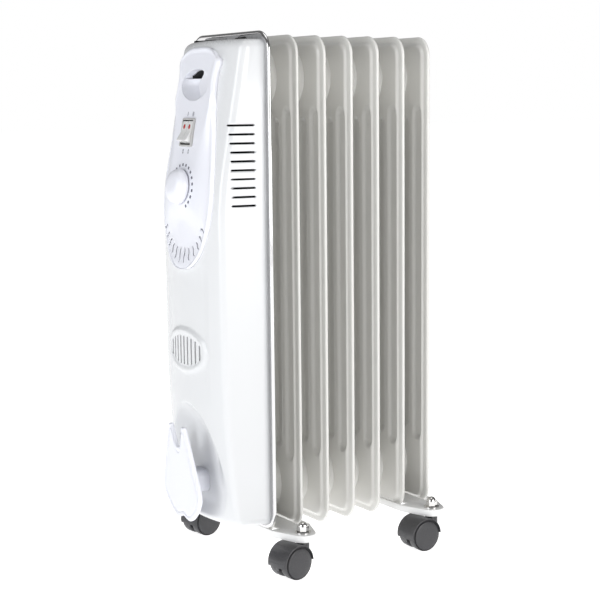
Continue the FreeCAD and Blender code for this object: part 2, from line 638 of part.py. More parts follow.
LAST_FACE = -SHEET_FACE
TOP_BOSS = size("fin_base") + size("fin_height") - size("boss_inset")
hexagon = [V(8 * math.cos(math.radians(60 * k)), LAST_FACE, TOP_BOSS + 8 * math.sin(math.radians(60 * k)))
           for k in range(7)]
plug = Part.Face(Part.makePolygon(hexagon)).extrude(V(0, 5, 0)).fuse(
    Part.makeCylinder(5, 4, V(0, LAST_FACE - 4, TOP_BOSS), V(0, 1, 0)))
fixed(plug, "filler_plug")


# ------------------------------------------------------------------ brackets and U-bolts
def bracket_face(inset=0.0):
    """Plan outline in (x, z) terms: straight middle, sloping shoulders and round tips at the stems."""
    stem = size("stem_x")
    tip, half = size("tip_radius") - inset, size("bracket_half") - inset
    reach, drop = stem - size("bracket_shoulder"), size("bracket_half")
    lean = math.atan2(drop, reach) - math.asin(size("tip_radius") / math.hypot(drop, reach))
    shoulder = size("bracket_shoulder") - inset * math.tan(lean / 2)
    tip_x = stem + tip * math.sin(lean)
    tip_z = tip * math.cos(lean)
    points = [(shoulder, -half), (tip_x, -tip_z), (tip_x, tip_z, stem + tip, 0), (shoulder, half),
              (-shoulder, half), (-tip_x, tip_z), (-tip_x, -tip_z, -stem - tip, 0), (-shoulder, -half)]
    return face_of(points)


def bracket(centre_y):
    """Pressed tray with a turned-down lip, slotted for two fins and holed for stems and U-bolt."""
    lip, top, metal = size("bracket_lip"), size("bracket_top"), size("bracket_sheet")
    inside = bracket_face(metal).translated(V(0, -metal, 0)).extrude(V(0, -lip, 0))
    tray = bracket_face().extrude(V(0, -lip, 0)).cut(inside)
    tray.rotate(V(), X_AXIS, 90)
    notch = size("notch_outer") - size("notch_inner")
    cuts = [Part.makeBox(2 * size("notch_half"), notch, 20, V(-size("notch_half"), y, -15))
            for y in (size("notch_inner"), -size("notch_outer"))]
    for x, radius in ((size("stem_x"), size("stem_radius")), (size("u_bolt_radius"), size("u_bolt_rod"))):
        cuts += [Part.makeCylinder(radius, 30, V(sign * x, 0, -15)) for sign in (-1, 1)]
    return tray.cut(cuts).translated(V(0, centre_y, top))


def u_bolt(centre_y):
    """Round rod bent over the oil duct between two fins, both legs down through the bracket."""
    bend, radius = size("u_bolt_radius"), size("u_bolt_rod")
    section = Part.Face(Part.Wire(Part.makeCircle(radius, V(bend, centre_y, BOSS_Z))))
    arch = section.revolve(V(0, centre_y, BOSS_Z), V(0, 1, 0), -180)
    length = BOSS_Z - size("u_bolt_low")
    legs = [Part.makeCylinder(radius, length, V(x, centre_y, size("u_bolt_low"))) for x in (-bend, bend)]
    return legs[0].fuse([arch, legs[1]])


def hex_prism(width, height, place):
    """A hexagon nut blank standing on the given point."""
    angles = [math.radians(60 * k) for k in range(7)]
    corners = [place + V(width / 2 * math.cos(a), width / 2 * math.sin(a), 0) for a in angles]
    return Part.Face(Part.makePolygon(corners)).extrude(V(0, 0, height))


ROWS = (("front", -size("bracket_y")), ("rear", size("bracket_y")))
UNDERSIDE = size("bracket_top") - size("bracket_sheet")
for word, centre_y in ROWS:
    fixed(bracket(centre_y), "bracket_" + word)
fixed(Part.makeCompound([u_bolt(y) for _, y in ROWS]), "u_bolts")
nuts = [hex_prism(9.5, 4, V(sign * size("u_bolt_radius"), y, UNDERSIDE - 4)).cut(
    Part.makeCylinder(size("u_bolt_rod"), 30, V(sign * size("u_bolt_radius"), y, 30)))
    for _, y in ROWS for sign in (-1, 1)]
fixed(Part.makeCompound(nuts), "u_bolt_nuts")


# ------------------------------------------------------------------ casters
SIDES = (("left", -1), ("right", 1))
STEMS = [(f"{row}_{side}", sign * size("stem_x"), y) for row, y in ROWS for side, sign in SIDES]
# how many times caster_turn each free caster stands swivelled, seen from above
TURNS = {"front_left": 1, "front_right": 1, "rear_left": -1, "rear_right": 0}


def caster_stem(x, y):
    """Steel stem: a collar under the bracket and a threaded end above it."""
    low = size("stem_low")
    stem = Part.makeCylinder(size("stem_radius"), size("bracket_top") + 9 - low, V(x, y, low))
    return stem.fuse(Part.makeCylinder(6, 1.2, V(x, y, UNDERSIDE - 1.2)))


def dome_nut(x, y):
    """Chromed cap nut: hexagon with a dome, threaded on the stem."""
    low = size("bracket_top") + 1.6
    blank = hex_prism(14, 6, V(x, y, low)).fuse(
        Part.makeSphere(5.6, V(x, y, low + 6), V(0, 0, 1), 0, 90, 360))
    return blank.cut(Part.makeCylinder(size("stem_radius"), size("bracket_top") + 9 - low, V(x, y, low)))


def washer(x, y):
    disc = Part.makeCylinder(9.3, 1.6, V(x, y, size("bracket_top")))
    return disc.cut(Part.makeCylinder(size("stem_radius"), 5, V(x, y, size("bracket_top") - 1)))


def caster_hood(x, y):
    """Moulded caster body: centre web, curved guard over both wheels and a bored stem socket."""
    height, guard = size("wheel_radius"), size("hood_radius")
    axle = V(x, y - size("wheel_trail"), height)

    def across(radius, half):
        return Part.makeCylinder(radius, 2 * half, axle - V(half, 0, 0), X_AXIS)

    cover = across(guard, size("hood_half")).cut(across(size("hood_inside"), 50))
    cover = cover.cut(Part.makeBox(100, 100, 60, V(x - 50, axle.y - 60, height - 4 - 60)))
    cover = cover.cut(Part.makeBox(100, 60, 60, V(x - 50, axle.y, height + 1 - 60)))
    web = across(guard, size("hood_web")).cut(
        Part.makeBox(100, 100, 60, V(x - 50, axle.y - 50, height - 8 - 60)))
    foot = size("stem_low") - 5
    tall = UNDERSIDE - 1.5 - foot
    socket = Part.makeCylinder(7.5, tall, V(x, y, foot)).cut(across(size("hood_inside"), 50))
    column = Part.makeBox(2 * size("hood_web"), 10, tall - 4, V(x - size("hood_web"), y - 8, foot))
    whole = cover.fuse([web, socket, column])
    bore = Part.makeCylinder(size("stem_radius") + size("running_gap"), 60, V(x, y, 0))
    return whole.cut([bore, across(size("axle_radius"), 50)])


def caster_wheel(x, y, side):
    """One of the twin wheels: tread, dished inner face and a bored hub."""
    axle = V(x, y - size("wheel_trail"), size("wheel_radius"))
    width = size("wheel_outer") - size("wheel_inner")
    start = size("wheel_inner")
    wheel = Part.makeCylinder(size("wheel_radius"), width, V(start, 0, 0), X_AXIS)
    rims = [e for e in wheel.Edges if e.Length > 2 * size("wheel_radius")]
    wheel = wheel.makeFillet(1.6, [e for e in rims if e.Closed])
    dish = Part.makeCylinder(size("wheel_radius") - 3, width - 4, V(start - 0.01, 0, 0), X_AXIS)
    hub = Part.makeCylinder(5.5, width - 4, V(start, 0, 0), X_AXIS)
    wheel = wheel.cut(dish).fuse(hub)
    bore = Part.makeCylinder(size("axle_radius") + size("running_gap"), width - 2, V(start - 1, 0, 0), X_AXIS)
    wheel = wheel.cut(bore)
    if side < 0:
        wheel.rotate(V(), V(0, 0, 1), 180)
    return wheel.translated(axle)


for word, x, y in STEMS:
    turn = TURNS[word] * size("caster_turn")
    axle_end = V(x - size("axle_half"), y - size("wheel_trail"), size("wheel_radius"))
    pieces = {"body": caster_hood(x, y), "wheel_l": caster_wheel(x, y, -1),
              "wheel_r": caster_wheel(x, y, 1),
              "axle": Part.makeCylinder(size("axle_radius"), 2 * size("axle_half"), axle_end, X_AXIS)}
    for ending, shape in pieces.items():
        fixed(shape.rotated(V(x, y, 0), V(0, 0, 1), turn), f"caster_{word}_{ending}")
fixed(Part.makeCompound([caster_stem(x, y) for _, x, y in STEMS]), "caster_stems")
fixed(Part.makeCompound([dome_nut(x, y) for _, x, y in STEMS]), "dome_nuts")
fixed(Part.makeCompound([washer(x, y) for _, x, y in STEMS]), "stem_washers")


# ------------------------------------------------------------------ check and export
doc.recompute()
for obj in doc.Objects:
    if "Invalid" in obj.State or "Error" in obj.State:
        raise RuntimeError(f"{obj.Label}: {obj.State}")
overall = FreeCAD.BoundBox()
os.makedirs("parts", exist_ok=True)
for obj in SUB_PARTS:
    shape = obj.Shape
    if shape.isNull() or not shape.isValid() or not shape.Solids:
        raise RuntimeError(f"{obj.Label} has no valid solid")
    overall.add(shape.BoundBox)
    print(f"{obj.Label:28s} solids {len(shape.Solids)}  volume {shape.Volume / 1000:8.2f} cm3")
    shape.exportStep(f"parts/{obj.Label}.step")
print("overall", overall)
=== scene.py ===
"""Looks of the oil filled radiator heater: enamelled fins, moulded housing and panel, polished trim,
white foot brackets and charcoal twin-wheel casters, built round the fixed frame. Metres throughout."""
import json
import math

import bmesh
import bpy
import numpy as np
from mathutils import Matrix, Vector


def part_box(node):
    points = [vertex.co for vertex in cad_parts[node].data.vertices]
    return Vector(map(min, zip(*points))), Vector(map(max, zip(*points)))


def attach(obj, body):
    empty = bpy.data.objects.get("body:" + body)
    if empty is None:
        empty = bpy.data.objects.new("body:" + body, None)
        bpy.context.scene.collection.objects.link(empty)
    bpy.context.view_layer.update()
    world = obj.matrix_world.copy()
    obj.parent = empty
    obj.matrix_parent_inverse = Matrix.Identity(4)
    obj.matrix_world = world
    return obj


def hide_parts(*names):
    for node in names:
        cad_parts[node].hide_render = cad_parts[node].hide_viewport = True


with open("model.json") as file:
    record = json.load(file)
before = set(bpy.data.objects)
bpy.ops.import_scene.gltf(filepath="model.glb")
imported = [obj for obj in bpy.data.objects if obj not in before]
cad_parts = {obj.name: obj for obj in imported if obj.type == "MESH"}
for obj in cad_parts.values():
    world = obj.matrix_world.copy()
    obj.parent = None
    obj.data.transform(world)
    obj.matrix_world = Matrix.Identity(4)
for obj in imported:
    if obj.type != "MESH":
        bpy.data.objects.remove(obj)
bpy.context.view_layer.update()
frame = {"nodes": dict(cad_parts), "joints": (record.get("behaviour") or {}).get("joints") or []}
MM = 0.001

# ---------------------------------------------------------------- camera
# A long lens about 1.7 m from the heater, a little above its middle, looking across its right front
# corner and slightly down.
camera_data = bpy.data.cameras.new("camera")
camera_data.lens = 86.46
camera_data.sensor_width = 36.0
camera = bpy.data.objects.new("camera", camera_data)
bpy.context.scene.collection.objects.link(camera)
yaw, pitch, roll = math.radians(57.208), math.radians(7.698), math.radians(-0.593)
forward = Vector((-math.sin(yaw) * math.cos(pitch), math.cos(yaw) * math.cos(pitch), -math.sin(pitch)))
level_right = Vector((math.cos(yaw), math.sin(yaw), 0.0))
level_up = level_right.cross(forward)
right = math.cos(roll) * level_right + math.sin(roll) * level_up
up = -math.sin(roll) * level_right + math.cos(roll) * level_up
camera.matrix_world = Matrix((
    (right.x, up.x, -forward.x, 1.46797),
    (right.y, up.y, -forward.y, -0.93051),
    (right.z, up.z, -forward.z, 0.54044),
    (0.0, 0.0, 0.0, 1.0)))
bpy.context.scene.camera = camera


# ---------------------------------------------------------------- studio
# A white seamless floor and backdrop with broad soft lights: a strong one in front of the heater, one
# to its right and a weaker one above, so that the narrow gaps between the fins stay in shade.
bpy.context.scene.view_settings.view_transform = "Standard"


def add_light(name, place, target, width, height, power, colour=(1.0, 1.0, 1.0)):
    """One rectangular soft light at a place, facing a target."""
    data = bpy.data.lights.new(name, "AREA")
    data.shape = "RECTANGLE"
    data.size, data.size_y, data.energy, data.color = width, height, power, colour
    light = bpy.data.objects.new(name, data)
    bpy.context.scene.collection.objects.link(light)
    light.location = place
    light.rotation_euler = (Vector(target) - Vector(place)).to_track_quat("-Z", "Y").to_euler()
    return light


add_light("front_soft", (0.35, -3.0, 1.0), (0.0, 0.0, 0.32), 1.5, 1.8, 38.0, (0.96, 0.98, 1.0))
add_light("side_soft", (3.0, 0.55, 1.0), (0.0, 0.0, 0.32), 1.5, 1.8, 46.0, (1.0, 0.995, 0.98))
add_light("top_soft", (0.1, -0.1, 2.8), (0.0, 0.0, 0.3), 1.6, 1.6, 12.0)
world = bpy.data.worlds.new("studio")
bpy.context.scene.world = world
world.use_nodes = True
sky = world.node_tree.nodes["Background"]
sky.inputs["Color"].default_value = (1.0, 1.0, 1.0, 1.0)
seen = world.node_tree.nodes.new("ShaderNodeLightPath")
strength = world.node_tree.nodes.new("ShaderNodeMapRange")
strength.inputs["To Min"].default_value, strength.inputs["To Max"].default_value = 0.17, 1.0
world.node_tree.links.new(seen.outputs["Is Camera Ray"], strength.inputs["Value"])
world.node_tree.links.new(strength.outputs[0], sky.inputs["Strength"])

floor_mesh = bpy.data.meshes.new("studio_floor")
floor_mesh.from_pydata([(-30, -30, 0), (30, -30, 0), (30, 30, 0), (-30, 30, 0)], [], [(0, 1, 2, 3)])
floor = bpy.data.objects.new("studio_floor", floor_mesh)
bpy.context.scene.collection.objects.link(floor)

# Enamel, moulded plastic and plated metal all show a fine surface waviness and faint handling dust, so
# those two effects are node groups that each finish places with its own values.
def new_group(name, inputs, outputs):
    """An empty shader node group with float or colour sockets, given as (name, type, default)."""
    group = bpy.data.node_groups.new(name, "ShaderNodeTree")
    for socket_name, kind, value in inputs:
        socket = group.interface.new_socket(name=socket_name, in_out="INPUT", socket_type=kind)
        if value is not None:
            socket.default_value = value
    for socket_name, kind in outputs:
        group.interface.new_socket(name=socket_name, in_out="OUTPUT", socket_type=kind)
    return group, group.nodes.new("NodeGroupInput"), group.nodes.new("NodeGroupOutput")


def noise_node(tree, vector, scale, detail=3.0, rough=0.55):
    """A 3-D noise node read at a vector socket."""
    node = tree.nodes.new("ShaderNodeTexNoise")
    node.inputs["Scale"].default_value = scale
    node.inputs["Detail"].default_value = detail
    node.inputs["Roughness"].default_value = rough
    tree.links.new(vector, node.inputs["Vector"])
    return node


def math_node(tree, operation, first, second, clamp=False):
    """A Math node whose two inputs are sockets or numbers; gives its output socket."""
    node = tree.nodes.new("ShaderNodeMath")
    node.operation = operation
    node.use_clamp = clamp
    for socket, value in zip(node.inputs, (first, second)):
        if isinstance(value, (int, float)):
            socket.default_value = value
        else:
            tree.links.new(value, socket)
    return node.outputs[0]


def mix_colour(tree, factor, first, second):
    """A colour mix whose factor is a socket and whose colours are sockets or tuples."""
    node = tree.nodes.new("ShaderNodeMix")
    node.data_type = "RGBA"
    tree.links.new(factor, node.inputs["Factor"])
    for socket, value in zip((node.inputs[6], node.inputs[7]), (first, second)):
        if isinstance(value, tuple):
            socket.default_value = value
        else:
            tree.links.new(value, socket)
    return node.outputs[2]


# Waviness: coarse flow ripples plus fine grain, both from 3-D noise.
ripple_group, ripple_in, ripple_out = new_group(
    "surface_waviness",
    [("Vector", "NodeSocketVector", None), ("Ripple Scale", "NodeSocketFloat", 90.0),
     ("Grain Scale", "NodeSocketFloat", 900.0), ("Grain Share", "NodeSocketFloat", 0.3)],
    [("Height", "NodeSocketFloat")])
ripple = noise_node(ripple_group, ripple_in.outputs["Vector"], 90.0, 2.0)
ripple_group.links.new(ripple_in.outputs["Ripple Scale"], ripple.inputs["Scale"])
grain = noise_node(ripple_group, ripple_in.outputs["Vector"], 900.0, 2.0)
ripple_group.links.new(ripple_in.outputs["Grain Scale"], grain.inputs["Scale"])
grain_part = math_node(ripple_group, "MULTIPLY", grain.outputs[0], ripple_in.outputs["Grain Share"])
ripple_group.links.new(math_node(ripple_group, "ADD", ripple.outputs[0], grain_part),
                       ripple_out.inputs["Height"])

# Dust: cloudy patches, stronger on upward faces, as a colour shift and a roughness rise.
dust_group, dust_in, dust_out = new_group(
    "settled_dust",
    [("Vector", "NodeSocketVector", None), ("Colour", "NodeSocketColor", (0.8, 0.8, 0.8, 1.0)),
     ("Dust Colour", "NodeSocketColor", (0.6, 0.58, 0.55, 1.0)), ("Amount", "NodeSocketFloat", 0.1),
     ("Roughness", "NodeSocketFloat", 0.3)],
    [("Colour", "NodeSocketColor"), ("Roughness", "NodeSocketFloat")])
clouds = noise_node(dust_group, dust_in.outputs["Vector"], 14.0, 5.0, 0.6)
specks = noise_node(dust_group, dust_in.outputs["Vector"], 700.0, 2.0)
normal_z = dust_group.nodes.new("ShaderNodeSeparateXYZ")
geometry_node = dust_group.nodes.new("ShaderNodeNewGeometry")
dust_group.links.new(geometry_node.outputs["Normal"], normal_z.inputs[0])
upward = math_node(dust_group, "MULTIPLY_ADD", normal_z.outputs[2], 0.5)
upward.node.inputs[2].default_value = 0.5
patches = math_node(dust_group, "MULTIPLY", clouds.outputs[0], upward)
patches = math_node(dust_group, "MULTIPLY", patches, specks.outputs[0])
amount = math_node(dust_group, "MULTIPLY", patches, dust_in.outputs["Amount"], clamp=True)
dusty = mix_colour(dust_group, amount, dust_in.outputs["Colour"], dust_in.outputs["Dust Colour"])
dust_group.links.new(dusty, dust_out.inputs["Colour"])
dust_group.links.new(math_node(dust_group, "ADD", dust_in.outputs["Roughness"],
                               math_node(dust_group, "MULTIPLY", amount, 0.5)),
                     dust_out.inputs["Roughness"])


def finish_material(name, colour, roughness, metallic=0.0, dust=0.12, ripple_scale=90.0, grain_scale=900.0,
                    grain_share=0.3, bump=0.05, coat=0.0):
    """A Principled finish with the shared waviness in its bump and the shared dust in its colour."""
    material = bpy.data.materials.new(name)
    material.use_nodes = True
    tree = material.node_tree
    shader = tree.nodes["Principled BSDF"]
    place = tree.nodes.new("ShaderNodeTexCoord").outputs["Object"]
    dust_node = tree.nodes.new("ShaderNodeGroup")
    dust_node.node_tree = dust_group
    tree.links.new(place, dust_node.inputs["Vector"])
    dust_node.inputs["Colour"].default_value = (*colour, 1.0)
    dust_node.inputs["Amount"].default_value = dust
    dust_node.inputs["Roughness"].default_value = roughness
    tree.links.new(dust_node.outputs["Colour"], shader.inputs["Base Color"])
    tree.links.new(dust_node.outputs["Roughness"], shader.inputs["Roughness"])
    wave_node = tree.nodes.new("ShaderNodeGroup")
    wave_node.node_tree = ripple_group
    tree.links.new(place, wave_node.inputs["Vector"])
    wave_node.inputs["Ripple Scale"].default_value = ripple_scale
    wave_node.inputs["Grain Scale"].default_value = grain_scale
    wave_node.inputs["Grain Share"].default_value = grain_share
    bump_node = tree.nodes.new("ShaderNodeBump")
    bump_node.inputs["Strength"].default_value = bump
    bump_node.inputs["Distance"].default_value = 0.0006
    tree.links.new(wave_node.outputs["Height"], bump_node.inputs["Height"])
    tree.links.new(bump_node.outputs["Normal"], shader.inputs["Normal"])
    shader.inputs["Metallic"].default_value = metallic
    shader.inputs["Coat Weight"].default_value = coat
    shader.inputs["Coat Roughness"].default_value = 0.08
    return material


pale_floor = finish_material("pale_floor", (0.90, 0.90, 0.90), 0.8, dust=0.0, bump=0.0)
floor_shader = pale_floor.node_tree.nodes["Principled BSDF"]
floor_shader.inputs["Emission Color"].default_value = (1.0, 1.0, 1.0, 1.0)
floor_shader.inputs["Emission Strength"].default_value = 0.86
floor.data.materials.append(pale_floor)


# ---------------------------------------------------------------- fins
# Each fin is two pressed steel sheets seamed round a flat rim, white enamelled. A raised panel inside
# the rim has four pressed channels with round ends, and two round bosses join it to its neighbours.
def add_piece(name, points, quads, material, body, smooth=True, merge=0.0):
    """A mesh object from an (n, 3) array and an (m, 4) or (m, 3) array of corners, riding on a body."""
    mesh = bpy.data.meshes.new(name)
    mesh.from_pydata(points.tolist(), [], quads.tolist())
    if merge:
        work = bmesh.new()
        work.from_mesh(mesh)
        bmesh.ops.remove_doubles(work, verts=work.verts, dist=merge)
        bmesh.ops.recalc_face_normals(work, faces=work.faces)
        work.to_mesh(mesh)
        work.free()
    mesh.polygons.foreach_set("use_smooth", np.full(len(mesh.polygons), smooth))
    mesh.update()
    piece = bpy.data.objects.new(name, mesh)
    bpy.context.scene.collection.objects.link(piece)
    mesh.materials.append(material)
    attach(piece, body)
    return piece


def grid_quads(rows, columns, start=0, wrap=False, flip=False):
    """Corner numbers of the quads of a rows by columns grid; wrap joins the last column to the first."""
    index = start + np.arange(rows * columns).reshape(rows, columns)
    if wrap:
        index = np.hstack([index, index[:, :1]])
    a, b, c, d = index[:-1, :-1], index[:-1, 1:], index[1:, 1:], index[1:, :-1]
    quads = np.stack([a, b, c, d], axis=-1).reshape(-1, 4)
    return quads[:, ::-1] if flip else quads


def join_grids(*parts):
    """Several (points, quads) pairs as one pair."""
    points, quads, count = [], [], 0
    for part_points, part_quads in parts:
        points.append(part_points)
        quads.append(part_quads + count)
        count += len(part_points)
    return np.vstack(points), np.vstack(quads)


def smooth_step(low, high, value):
    """Zero below low, one above high, and a smooth cubic between."""
    t = np.clip((value - low) / (high - low), 0.0, 1.0)
    return t * t * (3.0 - 2.0 * t)


def inside_distance(x, z, half_x, half_z, corner):
    """Distance in from the outline of a rectangle with round corners; negative outside."""
    over_x, over_z = np.abs(x) - (half_x - corner), np.abs(z) - (half_z - corner)
    outside = np.hypot(np.maximum(over_x, 0.0), np.maximum(over_z, 0.0))
    return corner - outside - np.minimum(np.maximum(over_x, over_z), 0.0)


def edge_spacing(half, fine, step):
    """Positions from -half to half: the fine list of distances near each end, then even steps."""
    fine = np.array(fine)
    middle = np.linspace(-half + fine[-1], half - fine[-1], int(2 * (half - fine[-1]) / step) + 1)
    return np.concatenate([-half + fine[:-1], middle, (half - fine[:-1])[::-1]])


def rounded_rows(z, half_x, half_z, corner):
    """Half width of the round-cornered rectangle at each height."""
    over = np.maximum(np.abs(z) - (half_z - corner), 0.0)
    return half_x - corner + np.sqrt(np.maximum(corner ** 2 - over ** 2, 0.0))


enamel = finish_material("white_enamel", (0.74, 0.735, 0.71), 0.24, ripple_scale=55.0, grain_scale=420.0,
                         bump=0.10, coat=0.35)
fin_low, fin_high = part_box("fin_4")
FIN_PITCH = fin_high[1] - fin_low[1]
FIN_HALF_X = (fin_high[0] - fin_low[0]) / 2
FIN_HALF_Z = (fin_high[2] - fin_low[2]) / 2
FIN_MIDDLE_Y = (fin_high[1] + fin_low[1]) / 2
FIN_MIDDLE_Z = (fin_high[2] + fin_low[2]) / 2
FIN_CORNER, RIM_HALF, PANEL_HALF = 22 * MM, 2.0 * MM, 4.8 * MM
RIM_WIDTH, SHOULDER = 7.2 * MM, 4.2 * MM
BOSS_FROM_MIDDLE = FIN_HALF_Z - 48.6 * MM
EDGE_STEPS = [v * MM for v in (0.0, 0.12, 0.5, 1.1, 1.9, 3.0, 5.0, 6.8, 7.6, 8.6, 9.6, 10.6, 11.6, 12.6)]


def sheet_height(x, z):
    """Height of one pressed sheet over the fin's middle plane: a half-round edge, a flat rim, a rounded
    shoulder up to the panel, less four channels that are capsules in plan with sloping sides."""
    depth = inside_distance(x, z, FIN_HALF_X, FIN_HALF_Z, FIN_CORNER)
    edge = np.clip(depth / RIM_HALF, 0.0, 1.0)
    height = RIM_HALF * np.sqrt(1.0 - (1.0 - edge) ** 2)
    rise = np.clip((depth - RIM_WIDTH) / SHOULDER, 0.0, 1.0)
    height = height + (PANEL_HALF - RIM_HALF) * np.sin(rise * math.pi / 2) ** 1.2
    for centre, reach in ((32.5 * MM, 186 * MM), (57.0 * MM, 198 * MM)):
        away = np.hypot(np.abs(x) - centre, np.maximum(np.abs(z) - reach, 0.0))
        height = height - 3.4 * MM * (1.0 - smooth_step(5.2 * MM, 8.6 * MM, away))
    return height


def fin_half(side):
    """One sheet of a fin as a grid that follows its outline; side is -1 for the front, 1 for the back."""
    z = edge_spacing(FIN_HALF_Z, EDGE_STEPS, 3.2 * MM)
    across = edge_spacing(1.0, [v / FIN_HALF_X for v in EDGE_STEPS], 1.75 * MM / FIN_HALF_X)
    x = across[None, :] * rounded_rows(z, FIN_HALF_X, FIN_HALF_Z, FIN_CORNER)[:, None]
    z = np.broadcast_to(z[:, None], x.shape)
    y = side * sheet_height(x, z)
    points = np.stack([x, y, z + FIN_MIDDLE_Z], axis=-1).reshape(-1, 3)
    return points, grid_quads(x.shape[0], x.shape[1], flip=side > 0)


def boss_half(side, height):
    """A domed boss: a profile from the panel's surface up to the joint with the neighbour, turned once
    round the fore-and-aft axis."""
    t = np.linspace(0.0, 1.0, 14)
    radius = (38.0 - 15.5 * t ** 1.5) * MM
    rise = 4.3 * MM + (FIN_PITCH / 2 - 4.3 * MM) * t
    angle = np.linspace(0.0, 2 * math.pi, 72, endpoint=False)
    points = np.stack([radius[:, None] * np.cos(angle), side * rise[:, None] + 0 * angle,
                       radius[:, None] * np.sin(angle) + height], axis=-1).reshape(-1, 3)
    return points, grid_quads(len(t), len(angle), wrap=True, flip=side < 0)


for number in range(1, 8):
    parts = [fin_half(-1), fin_half(1)]
    sides = [side for side in (-1, 1) if not (number == 1 and side < 0) and not (number == 7 and side > 0)]
    for side in sides:
        for offset in (-BOSS_FROM_MIDDLE, BOSS_FROM_MIDDLE):
            parts.append(boss_half(side, FIN_MIDDLE_Z + offset))
    points, quads = join_grids(*parts)
    points[:, 1] += FIN_MIDDLE_Y + (number - 4) * FIN_PITCH
    fin = add_piece(f"enamelled_fin_{number}", points, quads, enamel, "heater", merge=0.02 * MM)
    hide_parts(f"fin_{number}")


# ---------------------------------------------------------------- trim plate
# Polished plate behind the housing: a thin web with a rolled, chromed border that stands out all round.
chrome = finish_material("polished_chrome", (0.74, 0.735, 0.74), 0.07, metallic=1.0, dust=0.05,
                         ripple_scale=18.0, grain_scale=700.0, bump=0.05)
trim_low, trim_high = (np.array(v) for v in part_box("trim_plate"))
TRIM_HALF_X = (trim_high[0] - trim_low[0]) / 2
TRIM_HALF_Z = (trim_high[2] - trim_low[2]) / 2
TRIM_MIDDLE_Z = (trim_high[2] + trim_low[2]) / 2


def rounded_loop(half_x, half_z, corner, per_corner=14, per_side=3):
    """Points once round a rectangle with round corners, as x and z arrays, with outward directions."""
    x, z, out_x, out_z = [], [], [], []
    for quarter, (sign_x, sign_z) in enumerate(((1, 1), (-1, 1), (-1, -1), (1, -1))):
        turn = (quarter + np.linspace(0.0, 1.0, per_corner)) * math.pi / 2
        x.append(sign_x * (half_x - corner) + corner * np.cos(turn))
        z.append(sign_z * (half_z - corner) + corner * np.sin(turn))
        out_x.append(np.cos(turn))
        out_z.append(np.sin(turn))
    return tuple(np.concatenate(v) for v in (x, z, out_x, out_z))


def carried_profile(loop, inset, depth, centre_z, flip=False):
    """A profile of (inset, y) pairs carried round a loop, each ring being the loop moved in by its inset;
    the first and last rings are closed by a fan of rings that shrink to the loop's middle."""
    x, z, out_x, out_z = loop
    rings = [np.stack([x - i * out_x, np.full_like(x, y), z - i * out_z + centre_z], axis=-1)
             for i, y in zip(inset, depth)]
    for end, order in ((rings[0], 0), (rings[-1], len(rings) + 2)):
        middle = np.array([0.0, end[0, 1], centre_z])
        for share in (0.5, 0.0):
            rings.insert(0 if order == 0 else len(rings), middle + (end - middle) * share)
    return np.vstack(rings), grid_quads(len(rings), len(x), wrap=True, flip=flip)


trim_loop = rounded_loop(TRIM_HALF_X, TRIM_HALF_Z, 24 * MM, 20)
roll_turn = np.linspace(math.pi / 2, -math.pi / 2, 9)
roll_radius = (trim_high[1] - trim_low[1]) / 2
roll_middle = (trim_high[1] + trim_low[1]) / 2
inset = [9.0 * MM, 5.5 * MM] + list(roll_radius - roll_radius * np.cos(roll_turn))
inset += [4.2 * MM, 5.2 * MM, 9.0 * MM]
depth = [trim_high[1] - 0.6 * MM, trim_high[1] - 0.5 * MM]
depth += list(roll_middle + roll_radius * np.sin(roll_turn))
depth += [trim_low[1] + 0.1 * MM, trim_low[1] + 1.5 * MM, trim_low[1] + 1.9 * MM]
points, quads = carried_profile(trim_loop, inset, depth, TRIM_MIDDLE_Z)
trim = add_piece("polished_trim", points, quads, chrome, "heater", merge=0.01 * MM)
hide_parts("trim_plate")


# ---------------------------------------------------------------- housing
# One moulded white cover: flat sides, a bowed front that leans back above and below, a raised oval
# vent, an arched niche for the cord wrap, and rows of air slots cut right through.
moulded_white = finish_material("moulded_white", (0.70, 0.71, 0.725), 0.26, ripple_scale=40.0,
                                grain_scale=600.0, bump=0.05, coat=0.25)
# Near-black painted shade: stands in for the darkness inside the housing, deep in the finger recess and in the
# switch's well.
painted_shade_black = finish_material("painted_shade_black", (0.012, 0.012, 0.013), 0.8, dust=0.05)
SHIFT = fin_low[1] + FIN_PITCH / 2          # the middle fin's plane
shell_low, shell_high = (np.array(v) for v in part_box("housing_shell"))
SHELL_HALF, SHELL_FRONT_HALF, SHELL_CORNER, SHELL_BOW = shell_high[0], 70 * MM, 10 * MM, 175 * MM
SHELL_BACK = shell_high[1]
SHELL_FRONT = SHIFT - 188.5 * MM
LEAN_RADIUS, LEAN_ANGLE = 370 * MM, math.radians(10.4)
SHELL_TOP, SHELL_BOTTOM = shell_high[2], shell_low[2]


def lean(z):
    """How far the front has moved back at a height: above, an arc that runs into a straight slope;
    below, one larger arc."""
    above, below = np.maximum(z - 403 * MM, 0.0), np.maximum(260 * MM - z, 0.0)
    bend = LEAN_RADIUS * math.sin(LEAN_ANGLE)
    curved = LEAN_RADIUS - np.sqrt(LEAN_RADIUS ** 2 - np.minimum(above, bend) ** 2)
    straight = np.maximum(above - bend, 0.0) * math.tan(LEAN_ANGLE)
    return curved + straight + 1290 * MM - np.sqrt((1290 * MM) ** 2 - below ** 2)


def bow(x):
    """How far the front has moved back across the width: one arc."""
    return SHELL_BOW - np.sqrt(SHELL_BOW ** 2 - np.minimum(np.abs(x), 90 * MM) ** 2)


def front_y(x, z):
    return SHELL_FRONT + bow(x) + lean(z)


def niche_inside(x, z):
    """Distance in from the niche's arch: a full half oval over a level floor."""
    up = np.clip((z - 66 * MM) / (131 * MM), 0.0, 1.3) ** 2.2
    return np.minimum((1.0 - np.sqrt((x / (62 * MM)) ** 2 + up)) * 60 * MM, z - 64 * MM)


def oval_distance(x, z):
    """Signed distance, roughly, from the middle of the vent's raised ring."""
    radius = np.hypot(x / (41.0 * MM), (z - 259 * MM) / (23.5 * MM))
    return (radius - 1.0) * 27 * MM


PANEL_LOW, PANEL_SHOULDER, PANEL_TOP = 354 * MM, 595 * MM, 607.5 * MM


